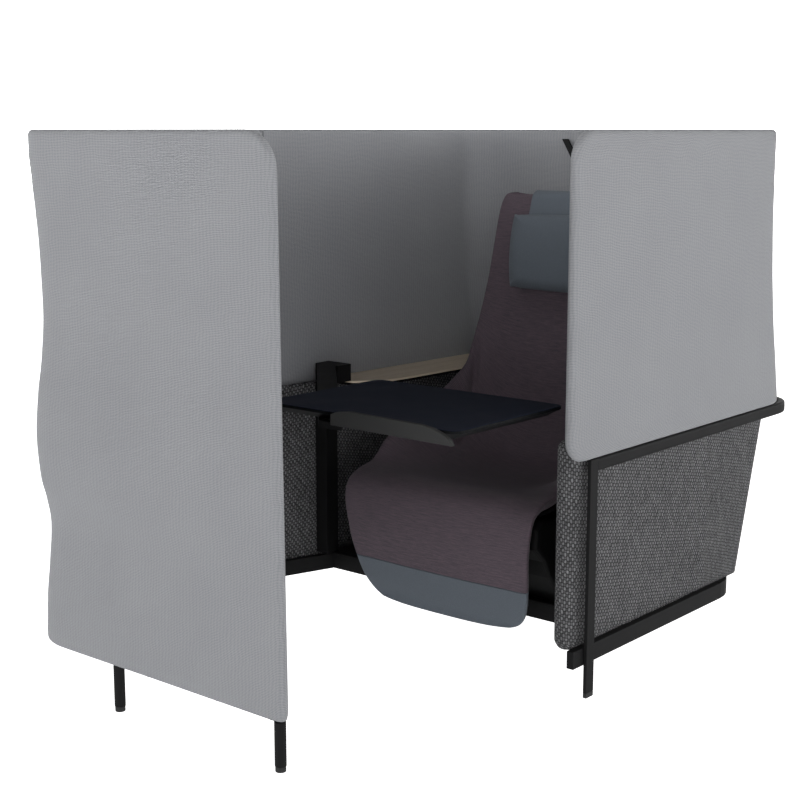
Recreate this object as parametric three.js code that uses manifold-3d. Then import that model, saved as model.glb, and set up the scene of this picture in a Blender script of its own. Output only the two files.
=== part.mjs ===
// An acoustic high back lounge chair: a reclined seat in a U of knitted screens on a steel base,
// with a full height wing screen in front of it, a work surface on an arm and a wooden side shelf.

import * as THREE from 'three';
import { mergeVertices } from 'three/addons/utils/BufferGeometryUtils.js';
import Module from 'manifold-3d';

const wasm = await Module();
wasm.setup();

// Sizes are in millimetres. x points to the sitter's left, y to the rear and z up.
// Until the last lines, x = 0 is the middle of the seat and y = 0 the outer face of the wing's front.

// The enclosure in plan
const overall_height = 1290;
const left_face_x = 503;             // outer face of the rail on the sitter's left
const wing_face_x = -603;            // outer face of the return wall, just behind the front corner
const wing_corner_radius = 150;
const right_rear_x = -525;           // outer face of the right wall where it meets the rear
const rear_face_y = 1794;            // outer face of the rail at the rear
const gap = 0.3;                     // between pieces that touch
const overrun = 5;                   // a cut runs past its piece

// Facets
const bar_sides = 20;
const pin_sides = 16;
const bend_steps = 8;
const straight_steps = 4;
const trim_steps = 4;
const corner_steps = 5;
const edge_segments = 3;
const shelf_segments = 4;
const length_steps = 60;

// Base and rails
const base_clearance = 79;           // floor to the underside of the base
const base_width = 18;
const base_height = 42;
const base_left_x = 493.7;           // outer face of the left base rail
const base_right_x = -490;           // outer face of the right base rail
const base_front_y = 954;
const base_rear_y = 1530;
const base_corner_radius = 130;
const base_left_front_y = 704;       // the left rail runs on past the entrance post
const plate_thickness = 3;
const cross_beam_y = 1373;
const flare_slope = Math.tan(THREE.MathUtils.degToRad(18));
const rail_width = 18;
const rail_height = 30;
const rail_top = 561;
const rail_edge = 6;                 // its long edges are rounded
const rail_corner_radius = 110;
const rail_tie_width = 60;
const rail_tie_height = 20;
const rail_tie_x = 250;

// Legs and glides
const leg_diameter = 25;
const post_width = 9;
const post_depth = 31;
const post_front_y = 746;
const glide_height = 12;
const glide_diameter = 23;
const near_leg_x = 243;
const far_leg_x = -262;
const rear_leg_x = 286;

// Screens
const screen_thickness = 25;
const wing_edge_x = 262;             // free edge of the wing at its foot
const wing_edge_lean = 11;
const wing_bottom = 108;
const wing_top_radius = 78;
const wing_foot_radius = 14;
const wing_seam_y = 780;
const waist_depth = 17.5;            // how far the knit draws in between its hoops
const lounge_front_y = 668;
const lounge_rear_y = 1783;
const lounge_corner_radius = 160;
const lounge_top_radius = 70;
const lounge_foot_radius = 55;
const lounge_lean = 97;              // the back's top stands this far forward of its foot
const lean_run = 330;
const sill_width = 16;
const sill_height = 12;
const sill_room = 0.6;

// Lower woven panels
const panel_thickness = 56;
const panel_front_y = 713;
const panel_top = 605;
const left_panel_bottom = 110;
const panel_round = 22;
const panel_rear_y = 1689;
const panel_corner_radius = 80;
const panel_lean = 134;              // the rear panel's foot stands this far forward of its top
const right_panel_face_x = -514;
const right_panel_top = 591;
const liner_top = 607;
const liner_front_y = 812;
const liner_rear_y = 934;
const liner_front_thickness = 5;
const column_room = 2;               // behind the column
const bracket_thickness = 3;
const front_bracket_length = 130;
const rear_bracket_length = 60;

// Seat and back
const seat_half_width = 304;
const seat_front_y = 796;
const seat_reach = 660;              // lip to the back's top, in plan
const back_top = 1120;
const hem_radius = 58;
const back_top_radius = 42;
const cushion_thickness = 48;
const band_thickness = 2.4;
const shell_wall = 8;
const front_rows = 8;
const seat_rows = 18;
const back_rows = 15;
const cover_half_width = 285;
const cover_start_y = 880;
const cover_reach = 573;
const cover_round = 12;

// Headrest
const pad_width = 400;
const pad_height = 220;
const pad_thickness = 58;
const pad_drop = 169;                // pad's middle below the back's top
const pad_stand_off = 4.3;           // pad's flat back to the back cushion's middle line
const strap_width = 330;
const strap_thickness = 2.4;
const strap_lift = 1.6;
const strap_room = 5;                // behind the back's shell
const strap_round = 24;
const strap_front_drop = 270;
const strap_rear_drop = 290;
const weight_height = 130;
const weight_thickness = 26;

// Side shelf
const shelf_top = 608;
const shelf_thickness = 6;
const carrier_thickness = 10;
const carrier_inset = 14;
const shelf_front_y = 1001;
const shelf_rear_y = 1620;
const shelf_depth_front = 96;
const shelf_depth_middle = 158;
const shelf_depth_rear = 138;

// Work surface and its arm
const column_face_x = -472;          // the column's face towards the seat
const column_width = 40;
const column_depth = 46;
const column_front_y = 928;
const column_top = 608;
const hub_width = 84;
const hub_depth = 53;
const hub_top = 656;
const hub_overhang = 29;
const hub_setback = 18;
const arm_pin_radius = 7;
const pin_sink = 24;
const arm_width = 50;
const arm_thickness = 15;
const arm_end_x = 112;
const arm_end_y = 312;
const surface_top = 680;
const surface_thickness = surface_top - hub_top - gap;
const surface_width = 556;
const surface_depth = 400;
const surface_corner = 26;
const surface_edge = 7;
const surface_arris = 1.5;
const surface_undercut = 30;
const surface_x = 156;
const surface_y = 542.5;
const surface_rail_x = 95;
const surface_rail_y = 330;
const surface_rail_width = 12;
const surface_rail_length = 338;
const surface_rail_bottom = 651;
const surface_rail_height = 38;
const running_clearance = 0.1;      // round a turning pin

// Reading light
const lamp_x = -133.5;
const lamp_drop = 110;               // pivot below the screen's top
const lamp_z = overall_height - lamp_drop;
const lamp_block_width = 16;
const lamp_block_depth = 14;
const lamp_arm_width = 16;
const lamp_arm_depth = 7;
const lamp_arm_length = 51;          // from the pivot down
const lamp_arm_head = 83;            // above the pivot
const lamp_arm_slope = THREE.MathUtils.degToRad(59);
const lamp_bar_length = 210;
const lamp_bar_height = 15;
const lamp_pin_radius = 3;
const lens_inset = 6;
const lens_thickness = 2;

// Materials
function finish(color, roughness, metalness) {
  return () => new THREE.MeshStandardMaterial({ color, roughness, metalness });
}
const black_steel = finish(0x2b2b2c, 0.5, 0.4);
const dark_grey = finish(0x3d3e40, 0.5, 0.3);
const black_plastic = finish(0x141415, 0.6, 0);
const glide_plastic = finish(0x1c1c1c, 0.7, 0);
const knit = finish(0x9b9da0, 0.95, 0);
const weave = finish(0x5b5b5c, 0.95, 0);
const mauve = finish(0x69585f, 0.9, 0);
const blue_grey = finish(0x545c64, 0.9, 0);
const maple = finish(0xc8b396, 0.55, 0);
const navy = finish(0x171c2c, 0.45, 0);
const diffuser = finish(0xe8e6df, 0.4, 0);

const chair = new THREE.Group();

function add(name, geometry, material, x = 0, y = 0, z = 0) {
  const mesh = new THREE.Mesh(geometry, material());
  mesh.name = name;
  mesh.position.set(x, y, z);
  chair.add(mesh);
  return mesh;
}

// Solids: a closed geometry has its faces turned outwards by the sign of its volume.
function outward(geometry) {
  const place = geometry.attributes.position;
  const index = geometry.index.array;
  const corners = [new THREE.Vector3(), new THREE.Vector3(), new THREE.Vector3()];
  let volume = 0;
  for (let i = 0; i < index.length; i += 3) {
    corners.forEach((corner, k) => corner.fromBufferAttribute(place, index[i + k]));
    volume += corners[0].dot(corners[1].clone().cross(corners[2]));
  }
  if (volume < 0) {
    for (let i = 0; i < index.length; i += 3) {
      [index[i + 1], index[i + 2]] = [index[i + 2], index[i + 1]];
    }
  }
  return geometry;
}

// Two grids of points with the same rows and columns, closed round their rims.
function closed_grid(front, back) {
  const rows = front.length;
  const columns = front[0].length;
  const points = [...front.flat(), ...back.flat()];
  const index = [];
  const at = (side, i, j) => (side * rows + i) * columns + j;
  const quad = (a, b, c, d) => index.push(a, b, c, a, c, d);
  for (let i = 0; i < rows - 1; i += 1) {
    for (let j = 0; j < columns - 1; j += 1) {
      quad(at(0, i, j), at(0, i, j + 1), at(0, i + 1, j + 1), at(0, i + 1, j));
      quad(at(1, i, j), at(1, i + 1, j), at(1, i + 1, j + 1), at(1, i, j + 1));
    }
    quad(at(0, i, 0), at(0, i + 1, 0), at(1, i + 1, 0), at(1, i, 0));
    quad(at(0, i + 1, columns - 1), at(0, i, columns - 1), at(1, i, columns - 1), at(1, i + 1, columns - 1));
  }
  for (let j = 0; j < columns - 1; j += 1) {
    quad(at(0, 0, j), at(1, 0, j), at(1, 0, j + 1), at(0, 0, j + 1));
    quad(at(0, rows - 1, j), at(0, rows - 1, j + 1), at(1, rows - 1, j + 1), at(1, rows - 1, j));
  }
  const geometry = new THREE.BufferGeometry().setFromPoints(points);
  geometry.setIndex(index);
  return outward(geometry);
}

function to_manifold(geometry) {
  const bare = geometry.clone();
  bare.deleteAttribute('normal');
  bare.deleteAttribute('uv');
  const merged = mergeVertices(bare);
  const vertProperties = merged.attributes.position.array;
  const triVerts = Uint32Array.from(merged.index.array);
  return new wasm.Manifold(new wasm.Mesh({ numProp: 3, vertProperties, triVerts }));
}

function from_manifold(solid) {
  const mesh = solid.getMesh();
  const geometry = new THREE.BufferGeometry();
  geometry.setAttribute('position', new THREE.BufferAttribute(mesh.vertProperties, 3));
  geometry.setIndex(new THREE.BufferAttribute(mesh.triVerts, 1));
  return geometry;
}

function cut(geometry, ...tools) {
  let solid = to_manifold(geometry);
  tools.forEach((tool) => {
    solid = solid.subtract(to_manifold(tool));
  });
  return from_manifold(solid);
}

// Even steps from start to end.
function spread(start, end, count) {
  return Array.from({ length: count + 1 }, (value, k) => THREE.MathUtils.lerp(start, end, k / count));
}

// A box by its lowest and highest corners.
function box(low, high) {
  const size = high.map((value, k) => value - low[k]);
  const middle = high.map((value, k) => (value + low[k]) / 2);
  return new THREE.BoxGeometry(...size).translate(...middle);
}

// A round bar standing on z.
function round_bar(radius, height, x, y, z) {
  const bar = new THREE.CylinderGeometry(radius, radius, height, bar_sides).rotateX(Math.PI / 2);
  return bar.translate(x, y, z + height / 2);
}

// A line in plan through the given corners, each rounded by its own radius.
function plan_line(corners) {
  const path = new THREE.Path();
  const places = corners.map((corner) => new THREE.Vector2(corner.x, corner.y));
  path.moveTo(places[0].x, places[0].y);
  for (let i = 1; i < corners.length - 1; i += 1) {
    const way_in = places[i].clone().sub(places[i - 1]).normalize();
    const way_out = places[i + 1].clone().sub(places[i]).normalize();
    const side = Math.sign(way_in.cross(way_out));
    const angle = Math.acos(way_in.dot(way_out));
    const radius = corners[i].radius;
    const start = places[i].clone().addScaledVector(way_in, -radius * Math.tan(angle / 2));
    const centre = start.clone().add(new THREE.Vector2(-way_in.y, way_in.x).multiplyScalar(side * radius));
    const from = Math.atan2(start.y - centre.y, start.x - centre.x);
    if (start.distanceTo(path.currentPoint) > gap) path.lineTo(start.x, start.y);
    path.absarc(centre.x, centre.y, radius, from, from + side * angle, side < 0);
  }
  if (places.at(-1).distanceTo(path.currentPoint) > gap) path.lineTo(places.at(-1).x, places.at(-1).y);
  return path;
}

// The point, and the normal to its left, at a distance along a plan line.
function walk(path, distance) {
  let left = distance;
  for (const piece of path.curves) {
    const length = piece.getLength();
    if (left <= length || piece === path.curves.at(-1)) {
      const share = THREE.MathUtils.clamp(left / length, 0, 1);
      const point = piece.getPointAt(share);
      const tangent = piece.getTangentAt(share);
      return { point, normal: new THREE.Vector2(-tangent.y, tangent.x) };
    }
    left -= length;
  }
  return null;
}

// The distances at which a plan line is sampled: each arc and straight in equal steps.
function stops(path, arc_steps, line_steps) {
  const distances = [0];
  for (const piece of path.curves) {
    const steps = piece.isLineCurve ? line_steps : arc_steps;
    const start = distances.at(-1);
    for (let k = 1; k <= steps; k += 1) {
      distances.push(start + (piece.getLength() * k) / steps);
    }
  }
  return distances;
}

// A bar that follows a plan line; its long edges may be rounded.
function bar_along(path, width, height, z, edge = 0) {
  const left = [];
  const right = [];
  stops(path, bend_steps, 1).forEach((distance) => {
    const { point, normal } = walk(path, distance);
    left.push(point.clone().addScaledVector(normal, width / 2));
    right.unshift(point.clone().addScaledVector(normal, -width / 2));
  });
  const bar = new THREE.ExtrudeGeometry(new THREE.Shape([...left, ...right]), {
    depth: height - 2 * edge,
    bevelEnabled: edge > 0,
    bevelThickness: edge,
    bevelSize: edge,
    bevelOffset: -edge,
    bevelSegments: edge_segments,
  });
  return bar.translate(0, 0, z + edge);
}

// The value at a place in a table of [place, value] rows, both in the table's own units.
function table_value(table, place) {
  const rows = table.map((row) => new THREE.Vector2(row[0], row[1]));
  const next = Math.max(1, rows.findIndex((row) => row.x >= place));
  if (place >= rows.at(-1).x) return rows.at(-1).y;
  const low = rows[next - 1];
  const high = rows[next];
  return THREE.MathUtils.mapLinear(Math.max(place, low.x), low.x, high.x, low.y, high.y);
}

// How far a rounded corner draws the end of a wall in, at a distance above or below its edge.
function corner_trim(radius, distance) {
  if (distance >= radius) return 0;
  return radius - Math.sqrt(radius ** 2 - (radius - distance) ** 2);
}

// An upholstered wall that follows a plan line, with rounded corners at its first upright edge.
function wall(path, options) {
  const { thickness, bottom, top, levels, top_radius = 0, foot_radius = 0, lean = 0, shift } = options;
  const heights = new Set([bottom, top, ...levels.filter((z) => z > bottom && z < top)]);
  for (let k = 1; k <= trim_steps; k += 1) {
    const drop = 1 - Math.cos((Math.PI / 2) * (k / trim_steps));
    if (top_radius) heights.add(top - top_radius * drop);
    if (foot_radius) heights.add(bottom + foot_radius * drop);
  }
  const distances = stops(path, bend_steps, straight_steps);
  const length = distances.at(-1);
  const straight = path.curves[0].getLength();
  const outer = [];
  const inner = [];
  [...heights].sort((a, b) => a - b).forEach((z) => {
    const trim = corner_trim(top_radius, top - z) + corner_trim(foot_radius, z - bottom);
    const start = trim + lean * THREE.MathUtils.inverseLerp(bottom, top, z);
    const rows = [[], []];
    distances.forEach((distance) => {
      const here = Math.max(distance, start + (distance * (straight - start)) / straight);
      const { point, normal } = walk(path, here);
      const move = shift(here / length, z, point, normal);
      [thickness / 2, -thickness / 2].forEach((offset, side) => {
        const place = point.clone().addScaledVector(normal, offset).add(move);
        rows[side].push(new THREE.Vector3(place.x, place.y, z));
      });
    });
    outer.push(rows[0]);
    inner.push(rows[1]);
  });
  return closed_grid(outer, inner);
}

// The right wall runs from the front corner to the rear on a slight slant.
function right_face_x(y) {
  return THREE.MathUtils.mapLinear(y, wing_corner_radius, rear_face_y, wing_face_x, right_rear_x);
}

// Base: a front beam that rises towards the entrance, two side rails, a rear rail with rounded
// corners, a cross beam over the rear legs and a flared rail that runs out under the wing's return.
const base_top = base_clearance + base_height;
const panel_left_inner_x = left_face_x - screen_thickness - panel_thickness;
function cross_bar(name, front_y) {
  add(name, box(
    [base_right_x + base_width + gap, front_y, base_clearance],
    [base_left_x - base_width - gap, front_y + base_width, base_top],
  ), black_steel);
}
cross_bar('base_front_beam', base_front_y);
cross_bar('base_cross_beam', cross_beam_y - base_width);

const side_rail_rear_y = base_rear_y - base_corner_radius;
add('base_rail_left', box(
  [base_left_x - base_width, base_left_front_y, base_clearance],
  [base_left_x, side_rail_rear_y - gap, base_top],
), black_steel);
add('base_rail_right', box(
  [base_right_x, base_front_y, base_clearance],
  [base_right_x + base_width, side_rail_rear_y - gap, base_top],
), black_steel);

const base_line_radius = base_corner_radius - base_width / 2;
const rear_line = plan_line([
  { x: base_left_x - base_width / 2, y: side_rail_rear_y },
  { x: base_left_x - base_width / 2, y: base_rear_y - base_width / 2, radius: base_line_radius },
  { x: base_right_x + base_width / 2, y: base_rear_y - base_width / 2, radius: base_line_radius },
  { x: base_right_x + base_width / 2, y: side_rail_rear_y },
]);
add('base_rail_rear', bar_along(rear_line, base_width, base_height, base_clearance), black_steel);

// The flared rail leaves the right rail's end at a slant and stops against the wing's return.
function right_inner_x(y) {
  return right_face_x(y) + screen_thickness + gap;
}
function flare_end(x) {
  const wall_slope = (right_rear_x - wing_face_x) / (rear_face_y - wing_corner_radius);
  const distance = (x - right_inner_x(base_front_y)) / (flare_slope - wall_slope);
  const y = base_front_y - distance;
  return new THREE.Vector2(right_inner_x(y) + 2 * gap, y);
}
const flare = new THREE.Shape([
  new THREE.Vector2(base_right_x + base_width, base_front_y - gap),
  new THREE.Vector2(base_right_x, base_front_y - gap),
  flare_end(base_right_x),
  flare_end(base_right_x + base_width),
]);
const flare_bar = new THREE.ExtrudeGeometry(flare, { depth: base_height, bevelEnabled: false });
add('base_rail_flare', flare_bar.translate(0, 0, base_clearance), black_steel);
const wall_line_inset = screen_thickness / 2;

const plate_bottom = base_top + gap;
const plate_top = plate_bottom + plate_thickness;
add('base_plate', box(
  [base_right_x, base_front_y, plate_bottom],
  [panel_left_inner_x - 3 * gap, side_rail_rear_y, plate_top],
), black_steel);

// Legs: two round ones under the wing, two under the cross beam, and the flat entrance post on the
// outer face of the left base rail.
const wing_middle_y = screen_thickness / 2;
const rear_leg_y = cross_beam_y - base_width / 2;
[
  ['leg_wing_near', 'glide_wing_near', near_leg_x, wing_middle_y, wing_bottom],
  ['leg_wing_far', 'glide_wing_far', far_leg_x, wing_middle_y, wing_bottom],
  ['leg_rear_left', 'glide_rear_left', rear_leg_x, rear_leg_y, base_clearance],
  ['leg_rear_right', 'glide_rear_right', -rear_leg_x, rear_leg_y, base_clearance],
].forEach(([leg, glide, x, y, top]) => {
  const length = top - glide_height - gap;
  add(leg, round_bar(leg_diameter / 2, length, x, y, glide_height), black_steel);
  add(glide, round_bar(glide_diameter / 2, glide_height - gap, x, y, 0), glide_plastic);
});
const post_inner_x = left_face_x - post_width;
const post_rear_y = post_front_y + post_depth;
add('entrance_post', box(
  [post_inner_x, post_front_y, glide_height],
  [left_face_x, post_rear_y, rail_top],
), black_steel);
add('glide_entrance', box(
  [post_inner_x, post_front_y, 0],
  [left_face_x, post_rear_y, glide_height - gap],
), glide_plastic);

// Middle rail: from the entrance post round the rear to the wing's seam.
const rail_line_radius = rail_corner_radius - rail_width / 2;
const rail_rear_y = rear_face_y - rail_width / 2;
const rail_left_end_y = post_rear_y + gap;
const rail_right_end_y = wing_seam_y + gap;
const rail_line = plan_line([
  { x: left_face_x - rail_width / 2, y: rail_left_end_y - rail_edge },
  { x: left_face_x - rail_width / 2, y: rail_rear_y, radius: rail_line_radius },
  { x: right_face_x(rail_rear_y) + rail_width / 2, y: rail_rear_y, radius: rail_line_radius },
  { x: right_face_x(wing_seam_y) + rail_width / 2, y: rail_right_end_y - rail_edge },
]);
const rail_bottom = rail_top - rail_height;
const rail_bar = bar_along(rail_line, rail_width, rail_height, rail_bottom, rail_edge);
const rail_ends = [[0, left_face_x + overrun, rail_left_end_y], [wing_face_x, 0, rail_right_end_y]];
const rail_end_cuts = rail_ends.map(([low_x, high_x, end_y]) => box(
  [low_x, end_y - 2 * rail_edge, rail_bottom - overrun],
  [high_x, end_y, rail_top + overrun],
));
add('middle_rail', cut(rail_bar, ...rail_end_cuts), black_steel);

// Wing screen: a knitted sleeve over foam, full height, from its free edge round the corner to the
// seam. Between its hoops the knit draws in: shares of the height, and of the waist's depth.
const waist_shares = [
  [0.084, 0.17], [0.165, -0.06], [0.225, -0.5], [0.3, -0.91], [0.35, -0.4], [0.385, 0.17],
  [0.46, 0.51], [0.535, 0.11], [0.6, -0.55], [0.685, -1], [0.79, -0.86], [0.86, -0.57],
  [0.925, -0.2], [0.96, 0], [1, 0],
];
const wing_line = plan_line([
  { x: wing_edge_x, y: wing_middle_y },
  { x: wing_face_x + wall_line_inset, y: wing_middle_y, radius: wing_corner_radius - wall_line_inset },
  { x: right_face_x(wing_seam_y) + wall_line_inset, y: wing_seam_y - gap },
]);
const wing_corner_share = (wing_edge_x - wing_face_x) / (wing_edge_x - wing_face_x + wing_seam_y);
function wing_shift(share, z, point, normal) {
  const from_edge = share / wing_corner_share;
  const from_seam = (1 - share) / (1 - wing_corner_share);
  const fade = THREE.MathUtils.smoothstep(Math.min(from_edge, from_seam), 0, 1);
  const draw = table_value(waist_shares, z / overall_height) * waist_depth;
  return normal.clone().multiplyScalar(draw * fade);
}
const wing_blank = wall(wing_line, {
  thickness: screen_thickness,
  bottom: wing_bottom,
  top: overall_height,
  levels: waist_shares.map((row) => row[0] * overall_height),
  top_radius: wing_top_radius,
  foot_radius: wing_foot_radius,
  lean: wing_edge_lean,
  shift: wing_shift,
});
const sill_start_x = wing_edge_x - wing_foot_radius;
const sill_line = plan_line([
  { x: sill_start_x, y: wing_middle_y },
  { x: wing_face_x + wall_line_inset, y: wing_middle_y, radius: wing_corner_radius - wall_line_inset },
  { x: right_face_x(wing_seam_y) + wall_line_inset, y: wing_seam_y - wing_foot_radius },
]);
const channel_line = plan_line([
  { x: sill_start_x + sill_room, y: wing_middle_y },
  { x: wing_face_x + wall_line_inset, y: wing_middle_y, radius: wing_corner_radius - wall_line_inset },
  { x: right_face_x(wing_seam_y) + wall_line_inset, y: wing_seam_y - wing_foot_radius + sill_room },
]);
const channel_width = sill_width + 2 * sill_room;
const channel_height = sill_height + sill_room + overrun;
const channel = bar_along(channel_line, channel_width, channel_height, wing_bottom - overrun);
add('wing_screen', cut(wing_blank, channel), knit);
add('wing_sill', bar_along(sill_line, sill_width, sill_height, wing_bottom), black_steel);

// Lounge screen: a knitted U on the rail. Its back stands forward at the top and flares out below.
const lean_shares = [
  [0.435, 0], [0.486, 0.14], [0.538, 0.32], [0.602, 0.55], [0.662, 0.71], [0.729, 0.86], [0.862, 1], [1, 1],
];
const lounge_line_rear_y = lounge_rear_y - wall_line_inset;
const lounge_line_radius = lounge_corner_radius - wall_line_inset;
const lounge_line_right_x = right_face_x(lounge_line_rear_y) + wall_line_inset;
const lounge_line = plan_line([
  { x: left_face_x - wall_line_inset, y: lounge_front_y },
  { x: left_face_x - wall_line_inset, y: lounge_line_rear_y, radius: lounge_line_radius },
  { x: lounge_line_right_x, y: lounge_line_rear_y, radius: lounge_line_radius },
  { x: right_face_x(wing_seam_y) + wall_line_inset, y: wing_seam_y + gap },
]);
function rear_share(y, rear_y, run) {
  return THREE.MathUtils.clamp((y - rear_y + run) / run, 0, 1);
}
function lounge_shift(share, z, point) {
  const draw = table_value(lean_shares, z / overall_height) * lounge_lean;
  return new THREE.Vector2(0, -draw * rear_share(point.y, lounge_line_rear_y, lean_run));
}
const lounge_screen = wall(lounge_line, {
  thickness: screen_thickness,
  bottom: rail_top + gap,
  top: overall_height,
  levels: lean_shares.map((row) => row[0] * overall_height),
  top_radius: lounge_top_radius,
  foot_radius: lounge_foot_radius,
  shift: lounge_shift,
});
add('lounge_screen', lounge_screen, knit);

// Lower woven panels: left with the rounded rear corner, rear, and right behind the column.
// The rear one's foot stands forward of its top.
const panel_outer_x = left_face_x - screen_thickness - gap;
const panel_line_rear_y = panel_rear_y - panel_thickness / 2;
const panel_line_radius = panel_corner_radius - panel_thickness / 2;
const panel_line_x = panel_outer_x - panel_thickness / 2;
const left_split_x = panel_outer_x - panel_corner_radius - panel_thickness;
const panel_bottom = base_top + gap;
function panel_shift(share, z, point) {
  const drop = THREE.MathUtils.clamp(THREE.MathUtils.inverseLerp(rail_bottom, panel_bottom, z), 0, 1);
  return new THREE.Vector2(0, -drop * panel_lean * rear_share(point.y, panel_line_rear_y, lean_run));
}
const panel_level_shares = [0, 0.42, 0.85, 1];
const panel_levels = panel_level_shares.map((share) => (
  THREE.MathUtils.lerp(panel_bottom, rail_bottom, share)
));
const left_panel_line = plan_line([
  { x: panel_line_x, y: panel_front_y },
  { x: panel_line_x, y: panel_line_rear_y, radius: panel_line_radius },
  { x: left_split_x + gap, y: panel_line_rear_y },
]);
const panel_look = {
  thickness: panel_thickness, bottom: panel_bottom, levels: panel_levels, shift: panel_shift,
};
const left_panel = wall(left_panel_line, {
  ...panel_look, bottom: left_panel_bottom, top: panel_top, top_radius: panel_round, foot_radius: panel_round,
});
const rail_notch = box(
  [base_left_x - base_width - gap, panel_front_y - overrun, left_panel_bottom - overrun],
  [left_face_x, base_front_y, base_top + gap],
);
const beam_notch = box(
  [left_split_x - overrun, base_front_y - gap, left_panel_bottom - overrun],
  [left_face_x, panel_rear_y + overrun, base_top + gap],
);
add('panel_left', cut(left_panel, rail_notch, beam_notch), weave);

const right_panel_thickness = right_panel_face_x - right_inner_x(liner_rear_y);
const right_line_inset = right_panel_thickness / 2;
const right_rear_line_x = right_inner_x(panel_line_rear_y) + right_line_inset;
const rear_panel_line = plan_line([
  { x: left_split_x, y: panel_line_rear_y },
  { x: right_rear_line_x + right_line_inset + panel_thickness, y: panel_line_rear_y },
]);
add('panel_rear', wall(rear_panel_line, { ...panel_look, top: right_panel_top }), weave);

const column_rear_y = column_front_y + column_depth;
const right_panel_bottom = panel_bottom + bracket_thickness + gap;
const right_panel_line = plan_line([
  { x: right_inner_x(column_rear_y) + right_line_inset, y: column_rear_y + column_room },
  { x: right_rear_line_x, y: panel_line_rear_y, radius: panel_line_radius },
  { x: right_rear_line_x + right_line_inset + panel_thickness - gap, y: panel_line_rear_y },
]);
add('panel_right', wall(right_panel_line, {
  ...panel_look, thickness: right_panel_thickness, bottom: right_panel_bottom, top: right_panel_top,
}), weave);

// The liner in front of the column thins out where the wall flares.
const liner = new THREE.Shape([
  new THREE.Vector2(right_inner_x(liner_front_y), liner_front_y),
  new THREE.Vector2(right_inner_x(liner_front_y) + liner_front_thickness, liner_front_y),
  new THREE.Vector2(right_panel_face_x, liner_rear_y),
  new THREE.Vector2(right_panel_face_x, column_rear_y),
  new THREE.Vector2(right_inner_x(column_rear_y), column_rear_y),
]);
const liner_height = liner_top - wing_bottom - gap;
const liner_solid = new THREE.ExtrudeGeometry(liner, { depth: liner_height, bevelEnabled: false });
add('wing_liner', liner_solid.translate(0, 0, wing_bottom + gap), weave);

// Flat steel brackets carry the right panel beside the base, and tie the rear rail to the panel.
[
  ['panel_bracket_front', column_rear_y + overrun, front_bracket_length],
  ['panel_bracket_rear', side_rail_rear_y - rear_bracket_length, rear_bracket_length],
].forEach(([name, y, length]) => {
  add(name, box(
    [right_inner_x(y + length) + gap, y, plate_bottom],
    [base_right_x - gap, y + length, plate_bottom + bracket_thickness],
  ), black_steel);
});
[['rail_tie_left', rail_tie_x], ['rail_tie_right', -rail_tie_x]].forEach(([name, x]) => {
  add(name, box(
    [x - rail_tie_width / 2, panel_rear_y + gap, rail_top - rail_tie_height],
    [x + rail_tie_width / 2, rear_face_y - rail_width - gap, rail_top - gap],
  ), black_steel);
});

// Seat and back: one upholstered surface. Each row holds, as shares, the middle line's y and z,
// the edge's y and z, and the half width: y of the reach, z of the back's top, width of the seat's.
const seat_line_shares = [
  [0.091, 0.06, 0.109, 0.072, 0.799],
  [0.053, 0.134, 0.071, 0.138, 0.888],
  [0.015, 0.223, 0.033, 0.228, 0.947],
  [0, 0.295, 0.021, 0.295, 0.98],
  [0.018, 0.346, 0.042, 0.338, 0.993],
  [0.091, 0.368, 0.106, 0.359, 1],
  [0.206, 0.362, 0.194, 0.375, 1],
  [0.364, 0.346, 0.276, 0.423, 0.997],
  [0.518, 0.334, 0.442, 0.466, 0.993],
  [0.658, 0.33, 0.597, 0.502, 0.993],
  [0.764, 0.353, 0.718, 0.537, 0.993],
  [0.821, 0.406, 0.802, 0.57, 0.987],
  [0.842, 0.491, 0.832, 0.616, 0.967],
  [0.864, 0.589, 0.858, 0.661, 0.951],
  [0.897, 0.688, 0.892, 0.714, 0.941],
  [0.93, 0.777, 0.923, 0.786, 0.921],
  [0.955, 0.857, 0.945, 0.862, 0.901],
  [0.973, 0.938, 0.967, 0.936, 0.882],
  [0.985, 0.98, 0.979, 0.973, 0.855],
  [1, 1, 0.994, 0.989, 0.822],
];
const column_shares = [0, 0.25, 0.48, 0.66, 0.79, 0.88, 0.94, 0.975, 0.993, 1];
const columns = [...column_shares.slice(1).reverse().map((share) => -share), ...column_shares];
const split_share = 0.555;           // where the seat cushion ends and the back cushion begins
const band_share = 0.07;             // the blue-grey band's upper edge
const edge_power = 3.4;
const round_power = 14;
const rim_power = 8;
const rim_share = 0.12;              // of the thickness is left at the rim
const middle_line = new THREE.SplineCurve(seat_line_shares.map((row) => new THREE.Vector2(row[0], row[1])));
const edge_line = new THREE.SplineCurve(seat_line_shares.map((row) => new THREE.Vector2(row[2], row[3])));
const width_line = new THREE.SplineCurve(seat_line_shares.map((row) => new THREE.Vector2(row[4], 0)));

function seat_point(along, across) {
  const rise = Math.abs(across) ** edge_power;
  const place = middle_line.getPoint(along).lerp(edge_line.getPoint(along), rise);
  const half = width_line.getPoint(along).x * seat_half_width;
  return new THREE.Vector3(across * half, seat_front_y + place.x * seat_reach, place.y * back_top);
}

// The hem and the top have rounded corners: the width draws in within a radius of each end.
const seat_length = spread(0, 1, length_steps).slice(1).reduce((sum, along, k) => (
  sum + seat_point(along, 0).distanceTo(seat_point(k / length_steps, 0))
), 0);
function corner_share(along) {
  const hem_trim = corner_trim(hem_radius, along * seat_length);
  const top_trim = corner_trim(back_top_radius, (1 - along) * seat_length);
  return 1 - (hem_trim + top_trim) / seat_half_width;
}

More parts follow.
